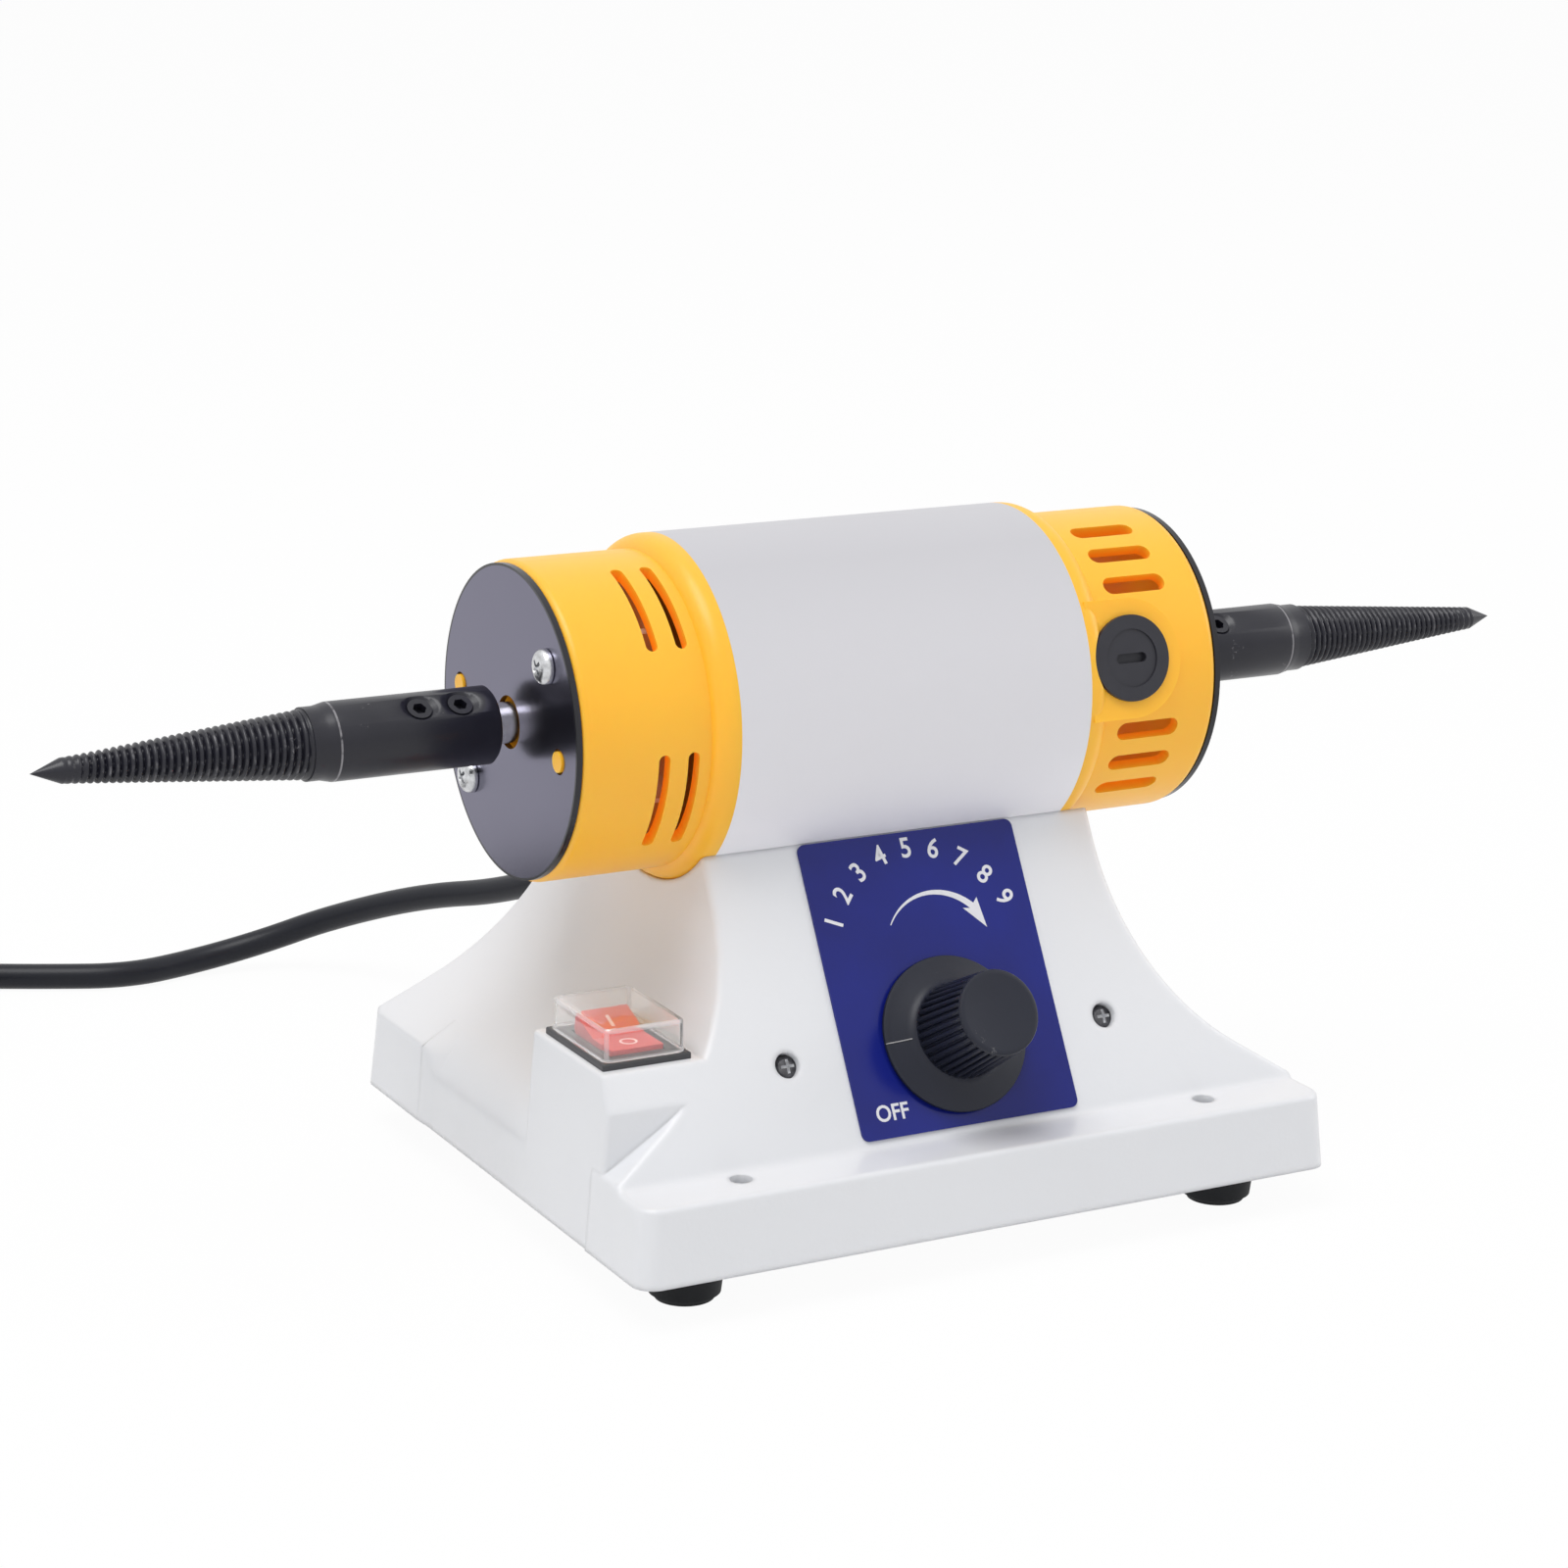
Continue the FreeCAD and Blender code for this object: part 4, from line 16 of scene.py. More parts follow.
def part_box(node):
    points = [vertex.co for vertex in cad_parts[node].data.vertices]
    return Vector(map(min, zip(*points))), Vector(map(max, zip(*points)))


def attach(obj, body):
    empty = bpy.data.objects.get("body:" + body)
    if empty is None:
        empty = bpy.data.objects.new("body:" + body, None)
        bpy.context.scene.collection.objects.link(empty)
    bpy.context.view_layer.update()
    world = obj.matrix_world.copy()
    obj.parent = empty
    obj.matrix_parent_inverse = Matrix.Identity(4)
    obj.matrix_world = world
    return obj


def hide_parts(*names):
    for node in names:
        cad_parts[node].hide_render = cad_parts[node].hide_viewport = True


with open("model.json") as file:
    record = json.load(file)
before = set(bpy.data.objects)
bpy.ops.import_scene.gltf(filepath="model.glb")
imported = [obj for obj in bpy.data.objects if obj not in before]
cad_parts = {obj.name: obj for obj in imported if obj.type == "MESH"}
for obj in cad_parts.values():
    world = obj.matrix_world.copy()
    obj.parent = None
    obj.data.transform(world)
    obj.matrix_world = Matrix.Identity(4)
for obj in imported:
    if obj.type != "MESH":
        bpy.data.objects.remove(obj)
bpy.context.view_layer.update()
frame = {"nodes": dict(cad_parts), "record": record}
MM = 0.001
print("pieces in the frame:", len(frame["nodes"]))

# %% [markdown]
# ## Camera
# A long lens from the front left, a little above the motor. A long lens keeps the two
# spindles nearly the same size although one is closer. The three turns are the heading, the
# downward tilt and a small roll, applied in that order.

# %% Camera
HEADING, TILT, ROLL = 0.4984031, 0.2585735, 0.0176605
CAMERA_PLACE = (-0.460416, -0.822686, 0.350669)
SENSOR_WIDTH, FOCAL_LENGTH, FAR_LIMIT = 36.0, 88.9109, 60.0
lens = bpy.data.cameras.new("studio_lens")
lens.sensor_width = SENSOR_WIDTH
lens.lens = FOCAL_LENGTH
lens.clip_end = FAR_LIMIT
camera = bpy.data.objects.new("studio_camera", lens)
bpy.context.scene.collection.objects.link(camera)
aim = (Matrix.Rotation(-HEADING, 4, "Z") @ Matrix.Rotation(math.pi / 2 - TILT, 4, "X")
       @ Matrix.Rotation(ROLL, 4, "Z"))
camera.matrix_world = Matrix.Translation(CAMERA_PLACE) @ aim
bpy.context.scene.camera = camera
print("lens", round(lens.lens, 2), "mm")

# %% [markdown]
# ## Mains lead
# The lead is one flexible piece, so it is one curve: out of the back of the base, down to
# the table, round in a neat coil of two layers and on to its plug. A quadratic NURBS spline
# suits it, because it bends evenly and never leaves the hull of its points.
# The coil has three turns lying beside each other, and the upper layer winds back outwards.
# Each step to the next turn is spread over nearly a third of a circle, because a lead of this
# thickness doesn't bend sharply. Each layer steps over at a place of its own, so that no turn
# runs through another. The spline runs a little inside its points, so the coil's points stand
# that much further out.

# %% Route of the lead
CORD_RADIUS = 0.0037
LEAD = [(-0.0136, 0.0762, 0.0385), (-0.0136, 0.1050, 0.0548), (-0.0242, 0.1436, 0.0380),
        (-0.0362, 0.1753, 0.0297), (-0.0528, 0.2059, 0.0169), (-0.0700, 0.2180, 0.0081),
        (-0.0900, 0.2216, 0.0037), (-0.1120, 0.2166, 0.0037), (-0.1340, 0.2260, 0.0037),
        (-0.1550, 0.2365, 0.0037), (-0.1780, 0.2430, 0.0037), (-0.1920, 0.2430, 0.0037),
        (-0.2180, 0.2430, 0.0037)]
TAIL = [(-0.2639, 0.1840, 0.0108), (-0.2639, 0.1710, 0.0090), (-0.2639, 0.1520, 0.0046),
        (-0.2639, 0.1360, 0.0066), (-0.2639, 0.12803, 0.00959)]
COIL_X, COIL_Y = -0.2180, 0.1971
INNER, MIDDLE, OUTER = 31.1, 38.5, 45.9
LOWER, UPPER = 3.7, 11.1
STEPS = [(90, OUTER, LOWER), (345, OUTER, LOWER), (450, MIDDLE, LOWER), (705, MIDDLE, LOWER),
         (810, INNER, LOWER), (1035, INNER, LOWER), (1140, INNER, UPPER), (1290, INNER, UPPER),
         (1395, MIDDLE, UPPER), (1650, MIDDLE, UPPER), (1755, OUTER, UPPER),
         (1980, OUTER, UPPER)]
POINT_STEP = 15


def coil_point(angle):
    """Radius and height of the coil at an angle, read off the list of steps."""
    for (a, ra, za), (b, rb, zb) in zip(STEPS, STEPS[1:]):
        if a <= angle <= b:
            share = 0.5 - 0.5 * math.cos(math.pi * (angle - a) / (b - a))
            radius = (ra + (rb - ra) * share) * MM / math.cos(math.radians(POINT_STEP / 2))
            turn = math.radians(angle)
            return (COIL_X + radius * math.cos(turn), COIL_Y + radius * math.sin(turn),
                    (za + (zb - za) * share) * MM)


FIRST_ANGLE, LAST_ANGLE = STEPS[0][0] + POINT_STEP, STEPS[-1][0]
coil = [coil_point(angle) for angle in range(FIRST_ANGLE, LAST_ANGLE + 1, POINT_STEP)]
route = LEAD + coil + TAIL
print("points on the lead:", len(route))

# %% Lead
def link(thing):
    """Put an object into the scene."""
    bpy.context.scene.collection.objects.link(thing)
    return thing


def frozen(thing):
    """What an object shows once everything on it has run, as a plain mesh."""
    bpy.context.view_layer.update()
    return bpy.data.meshes.new_from_object(
        thing.evaluated_get(bpy.context.evaluated_depsgraph_get()))


def nurbs(name, points, radius):
    """An open NURBS line through the hull of its points, with a round section."""
    data = bpy.data.curves.new(name, "CURVE")
    data.dimensions = "3D"
    line = data.splines.new("NURBS")
    line.points.add(len(points) - 1)
    for knot, point in zip(line.points, points):
        knot.co = (*point, 1.0)
    line.order_u = 3
    line.use_endpoint_u = True
    line.resolution_u = 8
    data.bevel_depth = radius
    data.bevel_resolution = 6
    data.use_fill_caps = True
    return link(bpy.data.objects.new(name, data))


lead = nurbs("mains_lead", route, CORD_RADIUS)


def centre_line(points):
    """The points that a NURBS line really passes through."""
    bare = nurbs("bare_line", points, 0.0)
    mesh = frozen(bare)
    line = [v.co.copy() for v in mesh.vertices]
    bpy.data.objects.remove(bare)
    bpy.data.meshes.remove(mesh)
    return line


lead_line = centre_line(route)

# %% [markdown]
# ## Shared effects
# Every finish has small faults of its own, and several need the same kinds: a fine relief,
# a slow drift of shade, and sparse worn specks. Each is built once as a shader node group
# with named inputs and placed in the materials that need it. The groups only hand on
# colours, masks and heights; the shaders stay in the materials.

# %% Node group helpers
def new_group(name, inputs, outputs, kind="ShaderNodeTree"):
    """An empty node group with its sockets."""
    tree = bpy.data.node_groups.new(name, kind)
    for label, socket_kind, value in inputs:
        socket = tree.interface.new_socket(label, in_out="INPUT", socket_type=socket_kind)
        if value is not None:
            socket.default_value = value
    for label, socket_kind in outputs:
        tree.interface.new_socket(label, in_out="OUTPUT", socket_type=socket_kind)
    return tree, tree.nodes.new("NodeGroupInput"), tree.nodes.new("NodeGroupOutput")


def feed(tree, socket, value):
    """Link an input to another socket, or set it to a plain value."""
    if isinstance(value, bpy.types.NodeSocket):
        tree.links.new(value, socket)
    else:
        socket.default_value = value


def add_node(tree, kind, group=None, **inputs):
    """A new node, around a group if one is given, with its inputs fed by name."""
    node = tree.nodes.new(kind)
    if group:
        node.node_tree = group
    for label, value in inputs.items():
        feed(tree, node.inputs[label.replace("_", " ")], value)
    return node


def mathematics(tree, operation, *values):
    """The result of a Math node; its values are sockets or plain numbers."""
    node = tree.nodes.new("ShaderNodeMath")
    node.operation = operation
    for socket, value in zip(node.inputs, values):
        feed(tree, socket, value)
    return node.outputs[0]


def noise_of_size(tree, place, size, detail=2.0, share=1.0):
    """A noise texture with blobs as large as a size socket says."""
    return add_node(tree, "ShaderNodeTexNoise", Vector=place, Detail=detail,
                    Scale=mathematics(tree, "DIVIDE", share, size))


MIX_SOCKETS = {"FLOAT": (2, 3, 0), "RGBA": (6, 7, 2)}


def mixed(tree, mask, first, second, kind="RGBA"):
    """Go from first to second where the mask goes from 0 to 1; each is a socket or a value."""
    node = tree.nodes.new("ShaderNodeMix")
    node.data_type = kind
    slot_a, slot_b, result = MIX_SOCKETS[kind]
    for slot, value in ((0, mask), (slot_a, first), (slot_b, second)):
        feed(tree, node.inputs[slot], value)
    return node.outputs[result]


FLOAT, COLOUR, VECTOR = "NodeSocketFloat", "NodeSocketColor", "NodeSocketVector"

# %% Fine relief
relief, given, handed = new_group(
    "fine_relief", [("Place", VECTOR, None), ("Grain", FLOAT, 0.001), ("Wave", FLOAT, 0.004),
                    ("Wave share", FLOAT, 0.5)], [("Height", FLOAT)])
layers = [noise_of_size(relief, given.outputs["Place"], given.outputs[source]).outputs["Fac"]
          for source in ("Grain", "Wave")]
relief.links.new(mixed(relief, given.outputs["Wave share"], *layers, kind="FLOAT"),
                 handed.inputs["Height"])

# %% Slow drift of shade
drift, given, handed = new_group(
    "shade_drift", [("Place", VECTOR, None), ("Size", FLOAT, 0.03), ("Base", COLOUR, None),
                    ("Other", COLOUR, None), ("Amount", FLOAT, 0.3)],
    [("Colour", COLOUR), ("Mask", FLOAT)])
CONTRAST, SHIFT = 2.4, -0.7
noise = noise_of_size(drift, given.outputs["Place"], given.outputs["Size"], 3.0)
spread = mathematics(drift, "MULTIPLY_ADD", noise.outputs["Fac"], CONTRAST, SHIFT)
drift.nodes[-1].use_clamp = True
mask = mathematics(drift, "MULTIPLY", spread, given.outputs["Amount"])
drift.links.new(mixed(drift, mask, given.outputs["Base"], given.outputs["Other"]),
                handed.inputs["Colour"])
drift.links.new(mask, handed.inputs["Mask"])

# %% Worn specks
specks, given, handed = new_group(
    "worn_specks", [("Place", VECTOR, None), ("Size", FLOAT, 0.0015),
                    ("Coverage", FLOAT, 0.1)], [("Mask", FLOAT)])
LEVEL, CRISPNESS, BROAD_SHARE = 0.46, 14.0, 0.12
fine = noise_of_size(specks, given.outputs["Place"], given.outputs["Size"], 4.0)
fine.inputs["Roughness"].default_value = 0.7
broad = noise_of_size(specks, given.outputs["Place"], given.outputs["Size"],
                      share=BROAD_SHARE)
both = mathematics(specks, "MULTIPLY", fine.outputs["Fac"], broad.outputs["Fac"])
edge = mathematics(specks, "SUBTRACT", LEVEL, given.outputs["Coverage"])
over = mathematics(specks, "SUBTRACT", both, edge)
mask = mathematics(specks, "MULTIPLY", over, CRISPNESS)
specks.nodes[-1].use_clamp = True
specks.links.new(mask, handed.inputs["Mask"])
print("shared effects:", [g.name for g in bpy.data.node_groups])

# %% [markdown]
# ## Finishes
# Most finishes differ in a few numbers only: colour, gloss, how coarse the relief is and how
# much it drifts or wears. One recipe builds them all from those numbers, and a few finishes
# then add what is special to them. Numbers that are the same all over a surface sit on the
# shader's own sockets.

# %% Recipe for a finish
SHADER_SOCKETS = {"metal": "Metallic", "coat": "Coat Weight", "coat_rough": "Coat Roughness",
                  "milky": "Subsurface Weight", "milky_scale": "Subsurface Scale",
                  "milky_radius": "Subsurface Radius", "clear": "Transmission Weight",
                  "ior": "IOR", "gloss": "Specular IOR Level"}


def finish(name, colour, rough, other=None, drift_size=0.03, drift_amount=0.35, grain=0.0006,
           wave=0.004, wave_share=0.4, relief_depth=0.00001, wear=0.0,
           wear_colour=(0.5, 0.5, 0.5), wear_size=0.0015, rough_change=0.08,
           stretch=(1, 1, 1), **extra):
    """A Principled material with relief, a drift of shade and worn specks."""
    material = bpy.data.materials.new(name)
    material.use_nodes = True
    tree = material.node_tree
    shader = tree.nodes["Principled BSDF"]
    for key, value in extra.items():
        shader.inputs[SHADER_SOCKETS[key]].default_value = value
    where = tree.nodes.new("ShaderNodeTexCoord")
    mapping = add_node(tree, "ShaderNodeMapping", Scale=stretch, Vector=where.outputs["Object"])

    def effect(group, **values):
        return add_node(tree, "ShaderNodeGroup", group, Place=mapping.outputs["Vector"],
                        **values)

    shade = effect(drift, Size=drift_size, Amount=drift_amount, Base=(*colour, 1),
                   Other=(*(other or [c * 0.9 for c in colour]), 1))
    paint = shade.outputs["Colour"]
    roughness = mathematics(tree, "MULTIPLY_ADD", shade.outputs["Mask"], rough_change, rough)
    if wear:
        worn = effect(specks, Size=wear_size, Coverage=wear)
        paint = mixed(tree, worn.outputs["Mask"], paint, (*wear_colour, 1))
    tree.links.new(paint, shader.inputs["Base Color"])
    tree.links.new(roughness, shader.inputs["Roughness"])
    if relief_depth:
        surface = effect(relief, Grain=grain, Wave=wave, Wave_share=wave_share)
        bump = add_node(tree, "ShaderNodeBump", Distance=relief_depth, Strength=1.0,
                        Height=surface.outputs["Height"])
        tree.links.new(bump.outputs["Normal"], shader.inputs["Normal"])
    return material


# %% Numbers of each finish
FINISH_NUMBERS = {
    "white_enamel": dict(
        colour=(0.795, 0.806, 0.835), rough=0.30, other=(0.765, 0.776, 0.806), drift_size=0.06,
        grain=0.0009, wave=0.0035, wave_share=0.7, relief_depth=0.00006, coat=0.25,
        coat_rough=0.12),
    "grey_enamel": dict(
        colour=(0.549, 0.544, 0.573), rough=0.42, other=(0.533, 0.528, 0.558), drift_size=0.05,
        grain=0.0004, wave=0.003, relief_depth=0.00002),
    "amber_plastic": dict(
        colour=(0.98, 0.51, 0.032), rough=0.36, other=(0.96, 0.48, 0.028), drift_size=0.03,
        grain=0.0005, wave=0.006, wave_share=0.5, relief_depth=0.000025, milky=0.3,
        milky_scale=0.003, milky_radius=(1.0, 0.45, 0.1), gloss=0.5),
    "black_enamel": dict(
        colour=(0.012, 0.012, 0.016), rough=0.20, other=(0.018, 0.018, 0.024), drift_size=0.02,
        grain=0.0007, wave=0.006, wave_share=0.6, relief_depth=0.00002, gloss=0.4),
    "black_oxide": dict(
        colour=(0.010, 0.010, 0.017), rough=0.29, other=(0.016, 0.016, 0.024), drift_size=0.008,
        drift_amount=0.6, grain=0.0003, wave=0.002, relief_depth=0.00002, wear=0.045,
        wear_size=0.0012, wear_colour=(0.16, 0.155, 0.165), gloss=0.42),
    "zinc_steel": dict(
        colour=(0.72, 0.73, 0.75), rough=0.20, other=(0.45, 0.45, 0.46), drift_size=0.0016,
        drift_amount=0.8, grain=0.0003, wave=0.001, relief_depth=0.00006, metal=1.0),
    "sheet_steel": dict(
        colour=(0.52, 0.53, 0.54), rough=0.34, other=(0.42, 0.42, 0.42), drift_size=0.02,
        grain=0.0004, relief_depth=0.00001, metal=1.0, stretch=(1, 8, 1)),
    "ground_steel": dict(
        colour=(0.80, 0.80, 0.81), rough=0.20, other=(0.55, 0.54, 0.53), drift_size=0.004,
        drift_amount=0.8, grain=0.0003, relief_depth=0.00002, metal=1.0, stretch=(9, 1, 1)),
    "lamination_steel": dict(
        colour=(0.30, 0.29, 0.28), rough=0.5, other=(0.20, 0.18, 0.17), drift_size=0.003,
        grain=0.0005, relief_depth=0.00008, metal=0.9, stretch=(12, 1, 1)),
    "copper_wire": dict(
        colour=(0.50, 0.16, 0.06), rough=0.34, other=(0.36, 0.10, 0.035), drift_size=0.003,
        drift_amount=0.7, grain=0.0006, relief_depth=0.0002, metal=0.7, stretch=(1, 6, 1)),
    "commutator_copper": dict(
        colour=(0.62, 0.32, 0.17), rough=0.28, other=(0.40, 0.20, 0.10), drift_size=0.002,
        grain=0.0005, relief_depth=0.00002, metal=1.0, stretch=(9, 1, 1)),
    "brass": dict(
        colour=(0.72, 0.55, 0.24), rough=0.22, other=(0.60, 0.44, 0.18), drift_size=0.004,
        grain=0.0003, relief_depth=0.00001, metal=1.0),
    "carbon": dict(
        colour=(0.035, 0.035, 0.038), rough=0.62, grain=0.0004, relief_depth=0.00004),
    "black_phenolic": dict(
        colour=(0.026, 0.026, 0.034), rough=0.42, other=(0.038, 0.038, 0.047), drift_size=0.006,
        grain=0.0004, relief_depth=0.00002, gloss=0.35),
    "blue_panel": dict(
        colour=(0.008, 0.017, 0.235), rough=0.14, other=(0.008, 0.010, 0.120), drift_size=0.045,
        drift_amount=0.8, grain=0.0004, wave=0.012, wave_share=0.9, relief_depth=0.00001,
        gloss=0.30),
    "knob_black": dict(
        colour=(0.006, 0.008, 0.018), rough=0.42, other=(0.011, 0.013, 0.026), drift_size=0.01,
        grain=0.00035, relief_depth=0.00003, wear=0.02, wear_colour=(0.10, 0.10, 0.11),
        gloss=0.38),
    "switch_black": dict(
        colour=(0.045, 0.045, 0.050), rough=0.34, grain=0.0004, relief_depth=0.00002),
    "rocker_red": dict(
        colour=(0.72, 0.045, 0.045), rough=0.28, other=(0.64, 0.035, 0.035), drift_size=0.01,
        grain=0.0004, relief_depth=0.00001, coat=0.3, coat_rough=0.1, milky=0.3,
        milky_scale=0.002, milky_radius=(1.0, 0.3, 0.2)),
    "clear_cover": dict(
        colour=(1.0, 1.0, 0.995), rough=0.02, other=(0.98, 0.98, 0.975), drift_size=0.01,
        grain=0.001, wave=0.008, wave_share=0.8, relief_depth=0.00004, rough_change=0.04,
        clear=0.94, ior=1.06, coat=1.0, coat_rough=0.05),
    "feet_rubber": dict(
        colour=(0.008, 0.009, 0.011), rough=0.62, other=(0.014, 0.015, 0.017), drift_size=0.01,
        grain=0.0006, relief_depth=0.00008, gloss=0.25),
    "cord_black": dict(
        colour=(0.006, 0.007, 0.012), rough=0.36, other=(0.010, 0.011, 0.018), drift_size=0.03,
        grain=0.0006, wave=0.005, relief_depth=0.00004, gloss=0.28),
    "plug_black": dict(
        colour=(0.014, 0.014, 0.017), rough=0.48, grain=0.0005, relief_depth=0.00006,
        gloss=0.4),
    "fan_nylon": dict(
        colour=(0.66, 0.65, 0.60), rough=0.45, grain=0.0006, relief_depth=0.00003),
    "board_green": dict(
        colour=(0.02, 0.16, 0.06), rough=0.35, drift_size=0.004, grain=0.0008,
        relief_depth=0.00004),
    "board_parts": dict(
        colour=(0.06, 0.06, 0.12), rough=0.4, grain=0.0006, relief_depth=0.00003),
    "spacer_nylon": dict(
        colour=(0.74, 0.73, 0.70), rough=0.45, grain=0.0005, relief_depth=0.00002),
}
finishes = {name: finish(name, **numbers) for name, numbers in FINISH_NUMBERS.items()}
print("finishes:", len(finishes))

# %% [markdown]
# ## Finishes that follow the shape
# Some looks belong to one place of a piece. The moulded caps carry a painted glow, which is
# deeper in colour and stronger inside their slots, where light would shine through the plastic.
# The sleeve's grey is painted paler towards the saddle: painted light that evens out the shade
# it would have under light from above. The covers are a dark mirror on their flat face. The
# spindles carry a bright line round the end of the body, and bright specks on their thread
# crests that are partly wear and partly painted glints. The motor's axis and middle are known,
# so a mask is a distance from them, and it follows the piece from every side. The casting's
# edges are rounded by its finish alone, which is enough for the small radius that paint leaves.

# %% Masks round the motor
AXIS_HEIGHT = 0.1266


def split_place(tree, kind="Object"):
    """The X, Y and Z of a surface point, each as a socket."""
    where = tree.nodes.new("ShaderNodeTexCoord")
    return add_node(tree, "ShaderNodeSeparateXYZ", Vector=where.outputs[kind]).outputs


def motor_place(tree):
    """Distance of a surface point from the motor's axis, and from its middle along it."""
    place = split_place(tree)
    rise = mathematics(tree, "SUBTRACT", place["Z"], AXIS_HEIGHT)
    square = mathematics(tree, "MULTIPLY_ADD", place["Y"], place["Y"],
                         mathematics(tree, "MULTIPLY", rise, rise))
    return mathematics(tree, "SQRT", square), mathematics(tree, "ABSOLUTE", place["X"])


def ramp(tree, value, start, end):
    """A mask that goes from 0 at start to 1 at end."""
    return add_node(tree, "ShaderNodeMapRange", From_Min=start, From_Max=end,
                    Value=value).outputs["Result"]


def lay_over(material, mask, **changes):
    """Blend a shader's sockets towards other values where the mask is 1."""
    tree = material.node_tree
    shader = tree.nodes["Principled BSDF"]
    for label, value in changes.items():
        socket = shader.inputs[label.replace("_", " ")]
        before = socket.links[0].from_socket if socket.links else socket.default_value
        if isinstance(value, tuple):
            result = mixed(tree, mask, before, (*value, 1))
        else:
            result = mixed(tree, mask, before, value, "FLOAT")
        tree.links.new(result, socket)


# %% Painted glow of the amber caps
SLOT_DEPTH, WALL_INSIDE, CAP_END = (0.0388, 0.0366), (0.0335, 0.0345), (0.0860, 0.0852)
PAINTED_GLOW, PAINTED_SLOT_GLOW, SLOT_GLOW_AMBER = (0.07, 0.027, 0.001), (0.24, 0.060, 0.002), (0.95, 0.29, 0.008)
amber = finishes["amber_plastic"]
tree = amber.node_tree
radius, travel = motor_place(tree)
barrel_wall = mathematics(tree, "MULTIPLY", ramp(tree, radius, *SLOT_DEPTH),
                          ramp(tree, radius, *WALL_INSIDE))
inside = mathematics(tree, "MULTIPLY", barrel_wall, ramp(tree, travel, *CAP_END))
# The whole cap has a faint painted glow. Inside the slots it has a deeper colour and a stronger
# painted glow. Both stand in for light shining through the plastic.
tree.nodes["Principled BSDF"].inputs["Emission Strength"].default_value = 1.0
tree.nodes["Principled BSDF"].inputs["Emission Color"].default_value = (*PAINTED_GLOW, 1)
lay_over(amber, inside, Base_Color=SLOT_GLOW_AMBER, Emission_Color=PAINTED_SLOT_GLOW)
print("amber plastic:", len(tree.nodes), "nodes")

# %% Soft edges of the casting
EDGE_RADIUS, EDGE_SAMPLES = 0.0022, 6
tree = finishes["white_enamel"].node_tree
rounding = add_node(tree, "ShaderNodeBevel", Radius=EDGE_RADIUS)
rounding.samples = EDGE_SAMPLES
tree.links.new(rounding.outputs["Normal"], tree.nodes["Bump"].inputs["Normal"])
print("edges of the casting rounded by", EDGE_RADIUS / MM, "mm")

# %% Painted light under the sleeve
PAINTED_LIGHT_START, PAINTED_LIGHT_END = AXIS_HEIGHT + 0.0375, AXIS_HEIGHT - 0.0231
PAINTED_LIGHT_GREY = (0.900, 0.892, 0.935)
paint = finishes["grey_enamel"]
tree = paint.node_tree
# Painted light: the grey turns paler towards the bottom, to even out the shade under the lamps
# above.
lay_over(paint, ramp(tree, split_place(tree)["Z"], PAINTED_LIGHT_START, PAINTED_LIGHT_END),
         Base_Color=PAINTED_LIGHT_GREY)
print("grey enamel:", len(tree.nodes), "nodes")

# %% Mirror of the cover discs
FACE_EDGE, MIRROR_GREY = (0.0377, 0.0376), (0.162, 0.156, 0.218)
enamel = finishes["black_enamel"]
tree = enamel.node_tree
radius, travel = motor_place(tree)
lay_over(enamel, ramp(tree, radius, *FACE_EDGE), Metallic=1.0, Base_Color=MIRROR_GREY)
print("black enamel:", len(tree.nodes), "nodes")

# %% Bright edge line, crest wear and painted crest glints of the spindles
BODY_EDGE, EDGE_LINE_WIDTH, EDGE_GAPS = 0.13455, (0.00034, 0.00012), (0.22, 0.50)
CREST_TOP, CREST_GAPS, CREST_SHARE = (0.80, 0.98), (0.52, 0.74), 0.55
WEAR_AND_GLINT_SHARE, WEAR_AND_GLINT_STEEL, GAP_SCALE = 0.70, (0.34, 0.33, 0.35), 420.0
oxide = finishes["black_oxide"]
tree = oxide.node_tree
radius, travel = motor_place(tree)
near = mathematics(tree, "ABSOLUTE", mathematics(tree, "SUBTRACT", travel, BODY_EDGE))
where = tree.nodes.new("ShaderNodeTexCoord")
broken = add_node(tree, "ShaderNodeTexNoise", Scale=GAP_SCALE, Vector=where.outputs["Object"])
# A bright line of steel round the end of the body, broken into dashes by the noise.
bright_edge_line = mathematics(tree, "MULTIPLY", ramp(tree, near, *EDGE_LINE_WIDTH),
                     ramp(tree, broken.outputs["Fac"], *EDGE_GAPS))
crests = tree.nodes.new("ShaderNodeAttribute")
crests.attribute_name = "crest"
# Bright specks on the thread crests, partly wear and partly painted glints.
crest_wear_and_glint = mathematics(tree, "MULTIPLY", ramp(tree, crests.outputs["Fac"], *CREST_TOP),
                         ramp(tree, broken.outputs["Fac"], *CREST_GAPS))
bare = mathematics(tree, "MAXIMUM", bright_edge_line,
                   mathematics(tree, "MULTIPLY", crest_wear_and_glint, CREST_SHARE))
lay_over(oxide, mathematics(tree, "MULTIPLY", bare, WEAR_AND_GLINT_SHARE), Base_Color=WEAR_AND_GLINT_STEEL)
print("black oxide:", len(tree.nodes), "nodes")

# %% Give each solid its finish
slot_of = {part["node"]: part["material_slot"] for part in frame["record"]["subparts"]}
for name, thing in frame["nodes"].items():
    thing.data.materials.clear()
    thing.data.materials.append(finishes[slot_of[name]])
print("solids with a finish:", len(slot_of))

# %% [markdown]
# ## Studio
# A plain white floor with soft light from above and a weak fill from the right. The camera,
# the clear hood and the shiny parts see the floor and the world as white. Everything else gets
# the light that the lamps really bring, so the object's shadow stays on the floor. In a mirror
# the world is a little greyer towards the horizon, which shapes the black parts' highlights.

# %% Floor
def seen_directly(tree):
    """A mask of the rays that should meet plain white."""
    path = tree.nodes.new("ShaderNodeLightPath")
    through = mathematics(tree, "MAXIMUM", path.outputs["Is Camera Ray"],
                          path.outputs["Is Transmission Ray"])
    return mathematics(tree, "MAXIMUM", through, path.outputs["Is Glossy Ray"])


